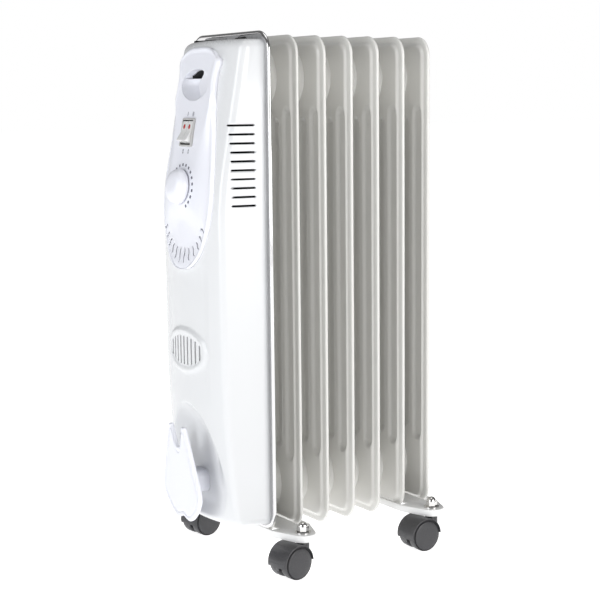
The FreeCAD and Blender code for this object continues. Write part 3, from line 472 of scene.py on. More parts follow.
def panel_half_width(z):
    """Half width up the control panel: a waist above, wide at the knob, closing in a round end below.
    The widths are joined by smooth cubics."""
    heights = np.array([354, 355, 358, 362, 369, 380, 390, 400, 413, 427, 441, 455, 475, 495, 530, 555,
                        566, 577, 588, 596]) * MM
    widths = np.array([0, 11, 21, 27.5, 35, 42.7, 47.3, 51.3, 54.7, 56.5, 57, 56.3, 54.4, 51.5, 46.2, 42,
                       40.8, 41, 43.8, 46]) * MM
    slopes = np.gradient(widths, heights)
    slopes[0] = slopes[1] * 2
    k = np.clip(np.searchsorted(heights, z) - 1, 0, len(heights) - 2)
    step = heights[k + 1] - heights[k]
    t = np.clip((z - heights[k]) / step, 0.0, 1.0)
    return ((2 * t ** 3 - 3 * t ** 2 + 1) * widths[k] + (t ** 3 - 2 * t ** 2 + t) * step * slopes[k]
            + (3 * t ** 2 - 2 * t ** 3) * widths[k + 1] + (t ** 3 - t ** 2) * step * slopes[k + 1])


def shell_section():
    """The level outline at the widest height: left side, corner, bowed front, corner, right side. The
    sides draw in a little towards the front."""
    corner_x = SHELL_FRONT_HALF - SHELL_CORNER
    centre_y = SHELL_FRONT + SHELL_BOW
    corner_y = centre_y - math.sqrt((SHELL_BOW - SHELL_CORNER) ** 2 - corner_x ** 2)
    slope = math.atan2(corner_x, centre_y - corner_y)
    draft = math.atan2(SHELL_HALF - SHELL_FRONT_HALF, SHELL_BACK - corner_y)
    share = np.linspace(0.0, 1.0, 16)[:-1]
    turn = np.linspace(math.pi / 2 - draft, slope, 12)[:-1]
    sweep = np.linspace(slope, -slope, 86)
    x = np.concatenate([SHELL_HALF + (SHELL_FRONT_HALF - SHELL_HALF) * share,
                        corner_x + SHELL_CORNER * np.sin(turn), SHELL_BOW * np.sin(sweep)])
    y = np.concatenate([SHELL_BACK + (corner_y - SHELL_BACK) * share,
                        corner_y - SHELL_CORNER * np.cos(turn), centre_y - SHELL_BOW * np.cos(sweep)])
    weight = np.concatenate([share, np.ones(11 + 86)])
    mirror = slice(25, None, -1)
    return (np.concatenate([x, -x[mirror]]), np.concatenate([y, y[mirror]]),
            np.concatenate([weight, weight[mirror]]))


def housing_surface():
    """The section carried up the housing: its front points move back by the lean, features push points
    along the depth, and both ends roll over on a quarter round to a level cap."""
    x, y, weight = shell_section()
    out_x, out_y = np.gradient(y), -np.gradient(x)
    length = np.hypot(out_x, out_y)
    out_x, out_y = -out_x / length, -out_y / length
    low_round, top_round = 9 * MM, 11 * MM
    turn = np.linspace(0.0, math.pi / 2, 8)
    z = np.concatenate([SHELL_BOTTOM + low_round * (1 - np.cos(turn)), np.arange(66, 212, 1.7) * MM,
                        np.arange(213, 600, 2.6) * MM, SHELL_TOP - top_round * (1 - np.sin(turn))])
    from_low, from_top = z - SHELL_BOTTOM, SHELL_TOP - z
    inset = np.where(from_low < low_round,
                     low_round - np.sqrt(np.maximum(low_round ** 2 - (low_round - from_low) ** 2, 0.0)), 0.0)
    inset += np.where(from_top < top_round,
                      top_round - np.sqrt(np.maximum(top_round ** 2 - (top_round - from_top) ** 2, 0.0)), 0.0)
    grid_x = x[None, :] - out_x[None, :] * inset[:, None]
    grid_y = y[None, :] + weight[None, :] * lean(z)[:, None] - out_y[None, :] * inset[:, None]
    grid_z = np.broadcast_to(z[:, None], grid_x.shape)
    facing = smooth_step(0.2, 0.6, -out_y)[None, :]
    arch = np.clip(niche_inside(grid_x, grid_z) / (17 * MM), 0.0, 1.0)
    sink = 1.0 - (1.0 - arch) ** 2.2
    niche_y = SHIFT - 167 * MM
    grid_y = grid_y + facing * sink * np.maximum(niche_y - grid_y, 0.0)
    ring = 1.5 * MM * (1.0 - smooth_step(1.2 * MM, 4.0 * MM, np.abs(oval_distance(grid_x, grid_z))))
    grid_y = grid_y - facing * ring
    hollow = smooth_step(0.0, 10 * MM, 50 * MM - np.abs(grid_x)) * smooth_step(190 * MM, 230 * MM, grid_z)
    hollow = hollow * (1.0 - smooth_step(340 * MM, 380 * MM, grid_z))
    hollow = hollow * smooth_step(0.0, 3 * MM, oval_distance(grid_x, grid_z))
    grid_y = grid_y + facing * 1.2 * MM * hollow
    body = np.stack([grid_x, grid_y, grid_z], axis=-1)
    shrink = np.array([0.8, 0.4, 0.0])[:, None, None]
    low_middle, top_middle = (np.array([0.0, SHELL_BACK, ring[0, 2]]) for ring in (body[0], body[-1]))
    low_cap = low_middle + (body[0] - low_middle) * shrink[::-1]
    top_cap = top_middle + (body[-1] - top_middle) * shrink
    whole = np.concatenate([low_cap, body, top_cap])
    return whole.reshape(-1, 3), grid_quads(whole.shape[0], whole.shape[1])


def capsule_bar(length, thick, reach):
    """A bar with round ends: a capsule outline of the given length and thickness along (u, v), pushed
    through a reach along w; points come back as (u, v, w)."""
    turn = np.linspace(-math.pi / 2, math.pi / 2, 7)
    half = length / 2 - thick / 2
    u = np.concatenate([half + thick / 2 * np.cos(turn), -half - thick / 2 * np.cos(turn)])
    v = np.concatenate([thick / 2 * np.sin(turn), -thick / 2 * np.sin(turn)])
    ring = np.stack([u, v], axis=-1)
    points = np.vstack([np.column_stack([ring, np.full(len(u), w)]) for w in (-reach / 2, reach / 2)])
    return points, len(u)


def bar_faces(count, start):
    """Side quads and two end faces of a bar whose rings hold count points each."""
    sides = [(start + k, start + (k + 1) % count, start + count + (k + 1) % count, start + count + k)
             for k in range(count)]
    ends = [tuple(start + k for k in range(count))[::-1], tuple(start + count + k for k in range(count))]
    return sides + ends


def cut_with(piece, cutter_points, cutter_faces, material=None):
    """Cut a closed set of solids out of a piece for good, with an exact boolean."""
    mesh = bpy.data.meshes.new("cutter")
    mesh.from_pydata([tuple(p) for p in cutter_points], [], cutter_faces)
    work = bmesh.new()
    work.from_mesh(mesh)
    bmesh.ops.recalc_face_normals(work, faces=work.faces)
    work.to_mesh(mesh)
    work.free()
    cutter = bpy.data.objects.new("cutter", mesh)
    bpy.context.scene.collection.objects.link(cutter)
    boolean = piece.modifiers.new("cut", "BOOLEAN")
    boolean.operation, boolean.solver, boolean.object = "DIFFERENCE", "EXACT", cutter
    apply_modifiers(piece)
    bpy.data.objects.remove(cutter)
    bpy.data.meshes.remove(mesh)


def apply_modifiers(piece):
    """Replace a piece's mesh by its evaluated mesh, with no modifiers left."""
    view = bpy.context.evaluated_depsgraph_get()
    view.update()
    mesh = bpy.data.meshes.new_from_object(piece.evaluated_get(view))
    piece.modifiers.clear()
    piece.data = mesh


def thicken(piece, thickness, inner_slot=0):
    """Give an open surface a wall on its inner side."""
    solid = piece.modifiers.new("wall", "SOLIDIFY")
    solid.thickness = thickness
    solid.offset = -1.0
    solid.material_offset = inner_slot
    apply_modifiers(piece)


points, quads = housing_surface()
housing = add_piece("moulded_housing", points, quads, moulded_white, "heater", merge=0.01 * MM)
# The wall's inner side is painted near-black as shade, seen through the slots and openings.
housing.data.materials.append(painted_shade_black)
thicken(housing, 2.4 * MM, 1)

cut_points, cut_faces = [], []


def collect_bar(bar, to_xyz):
    """Add one bar to the cutter lists, placed by a function from (u, v, w) to x, y and z arrays."""
    ring, count = bar
    cut_faces.extend(bar_faces(count, sum(len(p) for p in cut_points)))
    cut_points.append(np.stack(to_xyz(ring[:, 0], ring[:, 1], ring[:, 2]), axis=-1))


for k in range(10):
    collect_bar(capsule_bar(29.5 * MM, 2.3 * MM, 300 * MM),
                lambda u, v, w, k=k: (w, SHIFT - 147.2 * MM + u, (428.8 + 10 * k) * MM + v))
for k in range(9):
    place_x = (k - 4) * 8 * MM
    tall = 2 * 20 * MM * 0.85 * math.sqrt(1 - (place_x / (37.5 * MM)) ** 2)
    collect_bar(capsule_bar(tall, 2.4 * MM, 40 * MM),
                lambda u, v, w, x=place_x: (x + v, SHIFT - 190 * MM + w, 259 * MM + u))
window_z = np.linspace(366, 592, 60) * MM
window_x = panel_half_width(window_z) - 9 * MM
outline = np.column_stack([np.concatenate([window_x, -window_x[::-1]]),
                           np.concatenate([window_z, window_z[::-1]])])
cut_faces.extend(bar_faces(len(outline), sum(len(p) for p in cut_points)))
cut_points.append(np.vstack([np.insert(outline, 1, SHIFT - y * MM, axis=1) for y in (215, 150)]))
cut_with(housing, np.vstack(cut_points), cut_faces)
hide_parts("housing_shell")


# ---------------------------------------------------------------- control panel
# A cool-white moulded plate on the housing's front, with a rolled bead round its edge, a flat tongue
# down its middle and a shallow dish with a fan of curved slots below the knob.
panel_white = finish_material("panel_white", (0.79, 0.80, 0.86), 0.30, ripple_scale=50.0,
                              grain_scale=1100.0, grain_share=0.5, bump=0.04, coat=0.1)
def panel_face(x, z):
    """Depth of the panel's face without its bead: the housing's front moved out, levelled across a tongue
    that narrows downwards, with a shallow oval dish below the knob."""
    tongue = 46 * MM * smooth_step(395 * MM, 600 * MM, z) ** 0.75
    past = np.clip((np.abs(x) - tongue) / np.maximum(panel_half_width(z) - tongue, 5 * MM), 0.0, 1.0)
    flat = -bow(x) * (1.0 - smooth_step(0.0, 0.9, past)) * smooth_step(385 * MM, 430 * MM, z)
    dish_r = np.hypot(x / (50 * MM), (z - 394 * MM) / (37 * MM))
    return front_y(x, z) - 2.1 * MM + flat + 3.6 * MM * (1.0 - smooth_step(0.35, 1.05, dish_r))


def panel_surface():
    """Grid over the panel's outline: rows run from the round lower end to the arched top. Each row is
    bent up in its middle by the arch, and the depth follows the housing with bead, tongue and dish."""
    t = np.concatenate([np.linspace(0.0, 1.0, 34) ** 2 * 0.2, np.linspace(0.2, 1.0, 110)[1:]])
    base = PANEL_LOW + t * (PANEL_SHOULDER - PANEL_LOW)
    u = edge_spacing(1.0, [0.0, 0.008, 0.02, 0.035, 0.05, 0.07, 0.09, 0.11, 0.13], 0.026)
    width = panel_half_width(base)
    near_top = np.clip((base - 587 * MM) / (8 * MM), 0.0, 1.0)
    width = width - 8 * MM * (1.0 - np.sqrt(1.0 - near_top ** 2))
    x = u[None, :] * width[:, None]
    rise = (PANEL_TOP - PANEL_SHOULDER) * smooth_step(0.55, 1.0, t)[:, None]
    z = base[:, None] + rise * (1.0 - np.abs(u[None, :]) ** 3.6)
    side_edge = (1.0 - np.abs(u[None, :])) * width[:, None]
    top_edge = (1.0 - t[:, None]) * (PANEL_SHOULDER - PANEL_LOW) * 1.3
    low_edge = (z - PANEL_LOW) * 0.9
    edge = np.minimum(np.minimum(side_edge, top_edge), np.maximum(low_edge, side_edge))
    bead = 1.1 * MM * np.sin(math.pi * np.clip((edge - 0.2 * MM) / (6.0 * MM), 0.0, 1.0))
    y = panel_face(x, z) - bead
    front = np.stack([x, y, z], axis=-1)
    return front


front = panel_surface()
rows, columns = front.shape[:2]
back = front.copy()
back[..., 1] = np.maximum(front_y(front[..., 0], front[..., 2]) + 0.6 * MM,
                          panel_face(front[..., 0], front[..., 2]) + 1.5 * MM)
points = np.vstack([front.reshape(-1, 3), back.reshape(-1, 3)])
index = np.arange(rows * columns).reshape(rows, columns)
rim = np.concatenate([index[0, :], index[1:, -1], index[-1, -2::-1], index[-2:0:-1, 0]])
rim_next = np.roll(rim, -1)
walls = np.stack([rim, rim + rows * columns, rim_next + rows * columns, rim_next], axis=-1)
quads = np.vstack([grid_quads(rows, columns), grid_quads(rows, columns, rows * columns, flip=True), walls])
panel = add_piece("control_plate", points, quads, panel_white, "heater", merge=0.01 * MM)

cut_points, cut_faces = [], []
grip_turn = np.linspace(0.0, 2 * math.pi, 64, endpoint=False)
GRIP_Z, GRIP_HALF_X, GRIP_HALF_Z = 565 * MM, 30.6 * MM, 17.8 * MM


def tipped(points, degrees, place):
    """Points turned about the X axis, then moved."""
    c, s = math.cos(math.radians(degrees)), math.sin(math.radians(degrees))
    turn = np.array([[1, 0, 0], [0, c, -s], [0, s, c]])
    return points @ turn.T + np.array(place)


def oval_ring(scale, y, fore_z=0.0):
    """The grip's oval at a scale and a depth."""
    return np.stack([GRIP_HALF_X * scale * np.cos(grip_turn), np.full(64, y),
                     GRIP_Z + fore_z + GRIP_HALF_Z * scale * np.sin(grip_turn)], axis=-1)


cut_faces.extend(bar_faces(64, 0))
cut_points.append(np.vstack([oval_ring(1.0, SHIFT - 215 * MM), oval_ring(1.0, SHIFT - 150 * MM)]))
SWITCH_PLACE, SWITCH_TILT = (0.0, SHIFT - 176.4 * MM, 510.5 * MM), -10.4
corners = [(-1, -1), (1, -1), (1, 1), (-1, 1)]
window = np.array([(sx * 12.6, y, sz * 14.4) for y in (-40, 20) for sx, sz in corners]) * MM
cut_faces.extend(bar_faces(4, 128))
cut_points.append(tipped(window, SWITCH_TILT, SWITCH_PLACE))


def fan_slot(angle):
    """A thin slot that runs out from the fan's centre with a gentle S, as a ribbon pushed through."""
    t = np.linspace(0.0, 1.0, 9)
    radius = (33 + 8 * abs(math.sin(angle)) + (19 - 11 * abs(math.sin(angle))) * t) * MM
    swing = angle + math.copysign(math.radians(1.4), angle) * np.sin(2 * math.pi * t)
    half = (1.05 * MM) * np.sqrt(np.clip(1.12 - (2 * t - 1) ** 2, 0.05, 1.0))
    centre_x, centre_z = radius * np.sin(swing), 413 * MM - radius * np.cos(swing)
    across_x, across_z = np.cos(swing), np.sin(swing)
    x = np.concatenate([centre_x + half * across_x, (centre_x - half * across_x)[::-1]])
    z = np.concatenate([centre_z + half * across_z, (centre_z - half * across_z)[::-1]])
    return x, z


for k in range(12):
    x, z = fan_slot(math.radians((k - 5.5) * 13.6))
    cut_faces.extend(bar_faces(len(x), sum(len(p) for p in cut_points)))
    cut_points.append(np.vstack([np.column_stack([x, np.full(len(x), SHIFT - y * MM), z])
                                 for y in (205, 165)]))
cut_with(panel, np.vstack(cut_points), cut_faces)
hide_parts("control_panel")


# ---------------------------------------------------------------- finger recess
# A white scoop moulded behind the panel's oval opening. Its floor slopes back to a slot that
# takes the fingertips; the slot's deep faces are painted near-black as shade.
def recess_surface():
    """Grid over the oval: rows level in height, each as wide as the oval there. On the right a shallow
    ramp runs in from the edge to a curved ridge; left of it a bowl deepens upwards, and above the lip it
    drops back deep. Also gives a mask of the deep faces above the lip, which take painted shade."""
    lip = 23.0
    phi = np.concatenate([np.linspace(-90, lip, 34), [lip + 0.5], np.linspace(28, 90, 14)]) * math.pi / 180
    u = np.sin(np.linspace(-90, 90, 61) * math.pi / 180)
    z = GRIP_Z + (GRIP_HALF_Z + 0.4 * MM) * np.sin(phi)
    half = ((GRIP_HALF_X + 0.4 * MM) * np.cos(phi))[:, None]
    x = u[None, :] * half
    z = np.broadcast_to(z[:, None], x.shape)
    r = np.clip(np.hypot(x / GRIP_HALF_X, (z - GRIP_Z) / GRIP_HALF_Z), 0.0, 1.0)
    above = phi[:, None] > math.radians(lip + 0.2)
    deepest = np.where(above, 40 * MM, (7 + 9 * smooth_step(-1.4, 0.4, phi))[:, None] * MM)
    bowl = deepest * (1.0 - r ** 3.2) ** 0.7
    ridge = half * 0.9 * ((z - GRIP_Z) / (16 * MM)) ** 2
    ramp = 0.16 * (half - x) + bowl * smooth_step(0.0, 6 * MM, ridge - x)
    depth = np.minimum(bowl, ramp)
    y = panel_face(x, z) + 0.9 * MM + depth
    # Faces deep behind the lip, marked for the near-black painted shade.
    painted_shade_faces = above[:-1] & (depth[1:, :-1] > 6.5 * MM)
    return np.stack([x, y, z], axis=-1).reshape(-1, 3), grid_quads(*x.shape), painted_shade_faces.reshape(-1)


points, quads, painted_shade_faces = recess_surface()
recess = add_piece("finger_scoop", points, quads, panel_white, "heater")
# The deep faces take the near-black painted shade.
recess.data.materials.append(painted_shade_black)
recess.data.polygons.foreach_set("material_index", painted_shade_faces.astype(np.int32))
thicken(recess, 1.5 * MM)
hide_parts("handle_cup")


# ---------------------------------------------------------------- thermostat knob and dial
# A plain domed knob in the panel's white, pushed on the thermostat's shaft, inside a printed ring of
# short dashes that grow thicker towards the hottest setting.
def turned(profile, turns=64):
    """A profile of (radius, height) pairs turned once round the height axis; heights run along -Y."""
    profile = np.array(profile)
    angle = np.linspace(0.0, 2 * math.pi, turns, endpoint=False)
    points = np.stack([profile[:, :1] * np.cos(angle), -profile[:, 1:] + 0 * angle,
                       profile[:, :1] * np.sin(angle)], axis=-1)
    return points.reshape(-1, 3), grid_quads(len(profile), turns, wrap=True, flip=True)


KNOB_PLACE, KNOB_TILT = (0.0, SHIFT - 188.2 * MM, 449 * MM), -7.1
t = np.linspace(0.0, math.pi / 2, 26)
dome = np.column_stack([20.2 * np.cos(t) ** 0.62, 3.0 + 11.8 * np.sin(t) ** 0.95])
profile = np.vstack([[[0.0, 0.6], [18.6, 0.6], [19.4, 0.8], [20.0, 1.4], [20.2, 2.2]], dome]) * MM
points, quads = turned(profile, 96)
knob = add_piece("thermostat_dial", tipped(points, KNOB_TILT, KNOB_PLACE), quads, panel_white, "knob",
                 merge=0.01 * MM)
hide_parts("thermostat_knob")

print_grey = finish_material("printed_marks", (0.10, 0.10, 0.14), 0.5, dust=0.2, bump=0.02)


def printed(outlines, lift=0.12 * MM, face=panel_face):
    """Flat printed shapes laid just over a face: each outline is an array of (x, z) corners."""
    mesh_points, faces = [], []
    for outline in outlines:
        faces.append([len(mesh_points) + k for k in range(len(outline))])
        y = face(outline[:, 0], outline[:, 1]) - lift
        mesh_points.extend(zip(outline[:, 0].tolist(), y.tolist(), outline[:, 1].tolist()))
    return mesh_points, faces


def dash(radius, long, wide, degrees, centre):
    """The four corners of a short radial dash; zero degrees is straight up and angles grow clockwise."""
    a = math.radians(degrees)
    out, side = np.array([math.sin(a), math.cos(a)]), np.array([math.cos(a), -math.sin(a)])
    return np.array(centre) + np.array([out * (radius + o * long / 2) + side * w * wide / 2
                                        for o, w in ((-1, -1), (-1, 1), (1, 1), (1, -1))])


marks = [dash(25.2 * MM, 3.0 * MM, (2.0 + 0.1 * k) * MM, -122 + 16.9 * k, (0.0, KNOB_PLACE[2]))
         for k in range(17)]
stroke = np.array([(-0.5, 529.2), (0.5, 529.2), (0.5, 534.2), (-0.5, 534.2)]) * MM
marks += [stroke + np.array([x * MM, 0.0]) for x in (-6.3, 5.3, 7.3)]
for x in (-6.3, 6.3):
    ring_turn = np.linspace(0.0, 2 * math.pi, 25)
    for k in range(24):
        pair = np.array([(x + r * 1.4 * math.sin(ring_turn[j]), 489.2 + r * 2.5 * math.cos(ring_turn[j]))
                         for r, j in ((0.6, k), (1.0, k), (1.0, k + 1), (0.6, k + 1))])
        marks.append(pair * MM)
mark_points, mark_faces = printed(marks)
mesh = bpy.data.meshes.new("panel_marks")
mesh.from_pydata(mark_points, [], mark_faces)
panel_marks = bpy.data.objects.new("panel_marks", mesh)
bpy.context.scene.collection.objects.link(panel_marks)
mesh.materials.append(print_grey)
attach(panel_marks, "heater")


# ---------------------------------------------------------------- twin rocker switch
# A warm-grey moulded frame snapped into the panel, with two light-grey rockers side by side, each with
# a red lens let into its upper half.
bezel_grey = finish_material("bezel_grey", (0.47, 0.465, 0.46), 0.42, grain_scale=1600.0, grain_share=0.8,
                             bump=0.06)
rocker_grey = finish_material("rocker_grey", (0.70, 0.70, 0.70), 0.25, bump=0.04, coat=0.2)
lens_red = finish_material("lens_red", (0.42, 0.012, 0.014), 0.12, dust=0.05, ripple_scale=260.0, bump=0.10,
                           coat=0.6)
ROCKER_TURN = -15
outer = rounded_loop(14.0 * MM, 16.5 * MM, 2.0 * MM, 8)


def frame_ring(inset, y):
    """The bezel's outline moved in by an inset, at a depth."""
    x, z, out_x, out_z = outer
    return np.stack([x - inset * out_x, np.full_like(x, y), z - inset * out_z], axis=-1)


turn = np.linspace(0.0, math.pi / 2, 5)
rings = [frame_ring(0.0, 6.0 * MM)]
rings += [frame_ring((1 - math.cos(a)) * 0.9 * MM, (-2.4 - 0.9 * math.sin(a)) * MM) for a in turn]
rings += [frame_ring((1.6 + math.sin(a) * 0.6) * MM, (-3.3 + (1 - math.cos(a)) * 0.6) * MM) for a in turn]
rings += [frame_ring(2.2 * MM, 6.0 * MM)]
bezel_points = np.vstack(rings)
bezel = add_piece("switch_frame", tipped(bezel_points, SWITCH_TILT, SWITCH_PLACE),
                  grid_quads(len(rings), len(outer[0]), wrap=True), bezel_grey, "heater")
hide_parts("switch_bezel")
# A near-black quad behind the rockers is painted shade in the gap under them; the grey ledge above it is part of
# the frame.
well = np.array([(-12, 3.5, -14), (12, 3.5, -14), (12, 3.5, 0), (-12, 3.5, 0)]) * MM
for name, lift, finish in (("switch_well_painted_shade", 0.0, painted_shade_black), ("switch_ledge", 14.0 * MM, bezel_grey)):
    add_piece(name, tipped(well + np.array([0.0, 0.0, lift]), SWITCH_TILT, SWITCH_PLACE),
              np.array([[0, 1, 2, 3]]), finish, "heater", smooth=False)


def rocker_rings():
    """Rings of a rocker round its outline in its own frame, pivot at the origin: the wall, the rounded edge,
    then the face, each ring narrower in x down to a line. The long sides hold points at even heights."""
    half, tall, corner, round_off, count = 5.5 * MM, 12.0 * MM, 1.0 * MM, 0.7 * MM, 9
    loop = rounded_loop(half, tall, corner, 5)
    side_z = np.linspace(corner - tall, tall - corner, count)
    left = (np.full(count, -half), side_z[::-1], np.full(count, -1.0), np.zeros(count))
    right = (np.full(count, half), side_z, np.full(count, 1.0), np.zeros(count))
    x, z, out_x, out_z = (np.concatenate([v[:10], a, v[10:], b]) for v, a, b in zip(loop, left, right))
    turn = np.linspace(0.0, math.pi / 2, 5)
    steps = [(0.0, 5.0 * MM)] + [((1 - math.cos(a)) * round_off, -math.sin(a) * round_off) for a in turn]
    rings = [np.stack([x - inset * out_x, np.full_like(x, y), z - inset * out_z], axis=-1)
             for inset, y in steps]
    return rings + [rings[-1] * np.array([share, 1.0, 1.0]) for share in (0.94, 0.7, 0.35, 0.0)]


def rocker_face(z):
    """Depth of the rocker's face at a height over its pivot: two flats that meet in a shallow V."""
    return -3.5 * MM - np.abs(z) / 6


ROCKER_MIDDLE = 5.9 * MM
for side, word in ((-1, "left"), (1, "right")):
    rings = rocker_rings()
    points = np.vstack(rings)
    points[:, 1] += np.where(points[:, 1] < 2 * MM, rocker_face(points[:, 2]), 0.0)
    points[:, 0] += side * ROCKER_MIDDLE
    rocker = add_piece(f"switch_rocker_{word}", tipped(points, SWITCH_TILT + ROCKER_TURN, SWITCH_PLACE),
                       grid_quads(len(rings), len(rings[0]), wrap=True), rocker_grey, f"rocker_{word}_body",
                       merge=0.005 * MM)
    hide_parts(f"rocker_{word}")
    scale = np.array([1.0, 1.0, 0.85, 0.6, 0.3, 0.0])[:, None]
    lens_turn = np.linspace(0.0, 2 * math.pi, 32, endpoint=False)
    x = side * ROCKER_MIDDLE + 2.3 * MM * scale * np.cos(lens_turn)
    z = 5.3 * MM + 2.9 * MM * scale * np.sin(lens_turn)
    dome = np.sqrt(1.0 - scale ** 2) * 0.5 * MM + np.array([-1.0, 0.1, 0.1, 0.1, 0.1, 0.1])[:, None] * MM
    y = rocker_face(z) - 0.7 * MM - dome
    points = np.stack([x, y, z], axis=-1).reshape(-1, 3)
    lens = add_piece(f"rocker_lens_cap_{word}", tipped(points, SWITCH_TILT + ROCKER_TURN, SWITCH_PLACE),
                     grid_quads(6, 32, wrap=True), lens_red, f"rocker_{word}_body", merge=0.005 * MM)
    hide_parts(f"rocker_lens_{word}")


# ---------------------------------------------------------------- cord wrap
# A moulded hook plate in the niche, with two ears above and two lobes below, on a short neck behind
# which the cord is wound.
WRAP_PLACE, WRAP_TILT, WRAP_THICK = (0.0, SHIFT - 194.4 * MM, 62 * MM), 4, 4.8


def wrap_outline():
    """The plate's outline over its base as a closed loop: right side up from the base, ears and the notch
    between them, then the mirror image. The knots are joined by a smooth closed spline."""
    knots = np.array([(0, -1.5), (7.5, -4), (15, -5), (22, -1.8), (28.5, 3.5), (35.5, 10.5), (40, 17),
                      (43.4, 23.5), (44.3, 30), (43.4, 37), (41.5, 43.5), (36, 59), (30, 76), (24, 93),
                      (19.6, 105.3), (18.7, 108.1), (17, 108.9), (14, 109), (12.3, 108.2), (11.3, 104.8),
                      (9, 97), (7, 90), (5.6, 86), (3.2, 83.6), (0, 83)]) * MM
    left = knots[-2:0:-1] * np.array([-1.0, 1.0])
    closed = np.vstack([knots, left])
    count = len(closed)
    t = np.linspace(0.0, count, 220, endpoint=False)
    k = t.astype(int)
    f = (t - k)[:, None]
    p0, p1, p2, p3 = (closed[(k + j) % count] for j in (-1, 0, 1, 2))
    curve = 0.5 * (2 * p1 + (p2 - p0) * f + (2 * p0 - 5 * p1 + 4 * p2 - p3) * f ** 2
                   + (3 * p1 - p0 - 3 * p2 + p3) * f ** 3)
    return curve[:, 0], curve[:, 1]


def wrap_surface():
    """Rings from the outline towards the plate's middle: back face, rounded rim, front face with one
    engraved contour. The rim's rings move in square to the outline, the face's towards the middle."""
    x, z = wrap_outline()
    run_x, run_z = np.roll(x, -1) - np.roll(x, 1), np.roll(z, -1) - np.roll(z, 1)
    length = np.hypot(run_x, run_z)
    in_x, in_z = -run_z / length, run_x / length
    middle_z = 48 * MM
    turn = np.linspace(0.0, math.pi / 2, 6)
    rim = [(1.2, WRAP_THICK)]
    rim += [(1.2 - 1.2 * math.sin(a), WRAP_THICK - 1.2 * (1 - math.cos(a))) for a in turn]
    rim += [(1.6 - 1.6 * math.cos(a), 1.6 - 1.6 * math.sin(a)) for a in turn]
    face = [(5.2, 0.0), (5.6, 0.35), (6.0, 0.5), (6.4, 0.35), (6.8, 0.0), (9.0, 0.0), (14.0, 0.0),
            (20.0, 0.0)]
    rings = [np.stack([x + inset * MM * in_x, np.full_like(x, y * MM), z + inset * MM * in_z], axis=-1)
             for inset, y in rim]
    reach = np.hypot(x, z - middle_z)
    for inset, y in face:
        left = np.maximum(1.0 - inset * MM / reach, 0.02)
        rings.append(np.stack([x * left, np.full_like(x, y * MM), middle_z + (z - middle_z) * left], axis=-1))
    for y, place in ((WRAP_THICK, 0), (0.0, len(rings) + 1)):
        rings.insert(place, np.stack([0 * x, np.full_like(x, y * MM), 0 * z + middle_z], axis=-1))
    return np.vstack(rings), grid_quads(len(rings), len(x), wrap=True)


points, quads = wrap_surface()
wrap = add_piece("cord_hook", tipped(points, WRAP_TILT, WRAP_PLACE), quads, panel_white, "heater",
                 merge=0.01 * MM)
neck_loop = rounded_loop(17 * MM, 13 * MM, 8 * MM, 10)
x, z, out_x, out_z = neck_loop
neck_rings = np.array([(4.0, 2.0), (5.2, 0.6), (8.0, 0.0), (31.5, 0.0)]) * MM
neck_points = np.vstack([np.stack([x + grow * out_x, np.full_like(x, y), z + grow * out_z], axis=-1)
                         for y, grow in neck_rings])
neck = add_piece("cord_hook_neck", tipped(neck_points, 0, (0.0, SHIFT - 197.2 * MM, 102 * MM)),
                 grid_quads(len(neck_rings), len(x), wrap=True, flip=True), panel_white, "heater")
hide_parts("cord_wrap")


# ---------------------------------------------------------------- foot brackets
# White enamelled steel pressings across the fins' lower edges, slotted for the rims, held by U-bolts;
# their outer ends carry the casters.
bracket_white = finish_material("bracket_enamel", (0.86, 0.86, 0.86), 0.28, ripple_scale=60.0,
                                grain_scale=500.0, bump=0.06, coat=0.2)


def rounded_copy(node, name, width, segments, material, body):
    """A copy of a plain machined or pressed part with its triangles joined into whole faces and its
    edges rounded."""
    mesh = frame["nodes"][node].data.copy()
    mesh.name = name
    work = bmesh.new()
    work.from_mesh(mesh)
    bmesh.ops.remove_doubles(work, verts=work.verts, dist=0.002 * MM)
    bmesh.ops.dissolve_limit(work, angle_limit=math.radians(0.4), verts=work.verts, edges=work.edges)
    work.to_mesh(mesh)
    work.free()
    piece = bpy.data.objects.new(name, mesh)
    bpy.context.scene.collection.objects.link(piece)
    mesh.materials.clear()
    mesh.materials.append(material)
    bevel = piece.modifiers.new("rounding", "BEVEL")
    bevel.width, bevel.segments, bevel.limit_method = width, segments, "ANGLE"
    bevel.angle_limit = math.radians(35)
    apply_modifiers(piece)
    piece.data.polygons.foreach_set("use_smooth", np.full(len(piece.data.polygons), True))
    piece.data.set_sharp_from_angle(angle=math.radians(28))
    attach(piece, body)
    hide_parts(node)
    return piece


for row in ("front", "rear"):
    piece = rounded_copy(f"bracket_{row}", f"foot_bracket_{row}", 0.8 * MM, 3, bracket_white, "heater")


# ---------------------------------------------------------------- casters
# Charcoal moulded twin-wheel casters: a hood on a steel stem with a wheel each side of it, held up by a
# bright domed nut over a washer.
charcoal = finish_material("charcoal_moulded", (0.026, 0.026, 0.031), 0.36, dust=0.2, grain_scale=1500.0,
                           grain_share=0.9, bump=0.08)
nut_chrome = finish_material("nut_chrome", (0.72, 0.71, 0.70), 0.10, metallic=1.0, dust=0.1, bump=0.02)
zinc = finish_material("zinc_plate", (0.50, 0.50, 0.50), 0.35, metallic=1.0, dust=0.2, bump=0.06)


def wheel_profile():
    """Half a wheel's section from its hub out: a slightly convex disc, a groove round it, a rounded
    tread and a flat inner face, as (radius, distance out from the caster's middle)."""
    return np.array([(0.0, 17.0), (6.0, 16.9), (12.0, 16.6), (16.6, 16.1), (17.3, 15.8), (17.5, 15.2),
                     (17.5, 13.4), (18.5, 13.4), (18.5, 14.6), (18.8, 15.0), (19.2, 14.8),
                     (19.5, 13.8), (19.5, 6.6), (19.3, 5.0), (18.6, 3.9), (17.6, 3.3), (6.0, 3.2), (0.0, 3.2)]) * MM


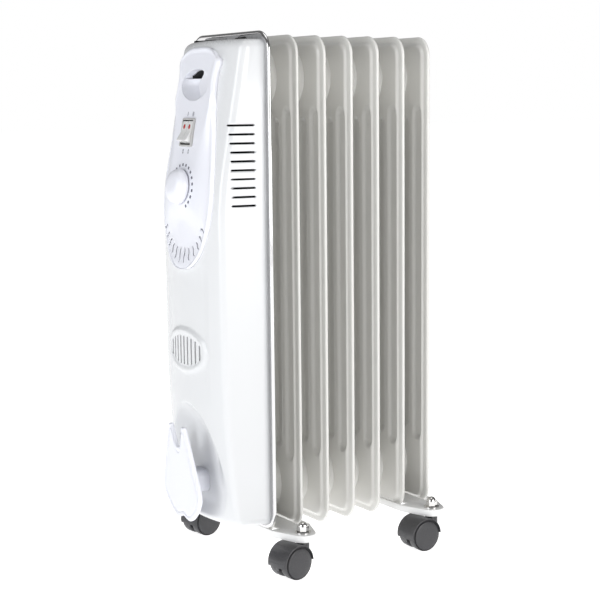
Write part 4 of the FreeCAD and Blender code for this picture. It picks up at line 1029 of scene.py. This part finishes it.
joints = {joint["name"]: joint for joint in frame["joints"]}
for corner in ("front_left", "front_right", "rear_left", "rear_right"):
    caster = f"caster_{corner}"
    hood = rounded_copy(caster + "_body", caster + "_hood", 0.5 * MM, 2, charcoal, caster)
    frame["nodes"][caster + "_axle"].data.materials[0] = zinc
    for wheel, sign in (("l", -1), ("r", 1)):
        roll = joints[f"{caster}_wheel_{wheel}_roll"]
        hub, axis = np.array(roll["pos_m"]), np.array(roll["axis"])
        square = np.array([-axis[1], axis[0], 0.0])
        profile = wheel_profile()
        angle = np.linspace(0.0, 2 * math.pi, 72, endpoint=False)
        points = (hub + sign * profile[:, None, 1:] * axis
                  + profile[:, None, :1] * (np.cos(angle)[:, None] * square
                                            + np.sin(angle)[:, None] * np.array([0.0, 0.0, 1.0])))
        disc = add_piece(f"{caster}_disc_{wheel}", points.reshape(-1, 3),
                         grid_quads(len(profile), len(angle), wrap=True, flip=sign < 0), charcoal,
                         f"{caster}_wheel_{wheel}_spin", merge=0.01 * MM)
        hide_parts(f"{caster}_wheel_{wheel}")
frame["nodes"]["dome_nuts"].data.materials[0] = nut_chrome
frame["nodes"]["stem_washers"].data.materials[0] = nut_chrome
frame["nodes"]["caster_stems"].data.materials[0] = zinc


# ---------------------------------------------------------------- parts behind the covers
# Steel, rubber, brass and moulded parts that sit inside the housing or under the fins; they keep their
# machined shapes and take plain working finishes.
inner_black = finish_material("inner_moulding", (0.03, 0.03, 0.032), 0.5, bump=0.05)
rubber = finish_material("gasket_rubber", (0.02, 0.02, 0.02), 0.7, bump=0.1)
element_steel = finish_material("element_steel", (0.42, 0.40, 0.37), 0.3, metallic=1.0, bump=0.05)
brass = finish_material("plug_brass", (0.62, 0.48, 0.22), 0.25, metallic=1.0, bump=0.04)
for names, material in (
        (("switch_body", "thermostat_body", "terminal_block", "cord_gland", "thermal_cutout"), inner_black),
        (("flange_gasket",), rubber), (("heating_element",), element_steel), (("filler_plug",), brass),
        (("switch_pivot", "thermostat_shaft", "wiring_plate", "element_flange", "flange_bolts", "u_bolts",
          "u_bolt_nuts", "cord_wrap_screws"), zinc)):
    for name in names:
        frame["nodes"][name].data.materials[0] = material
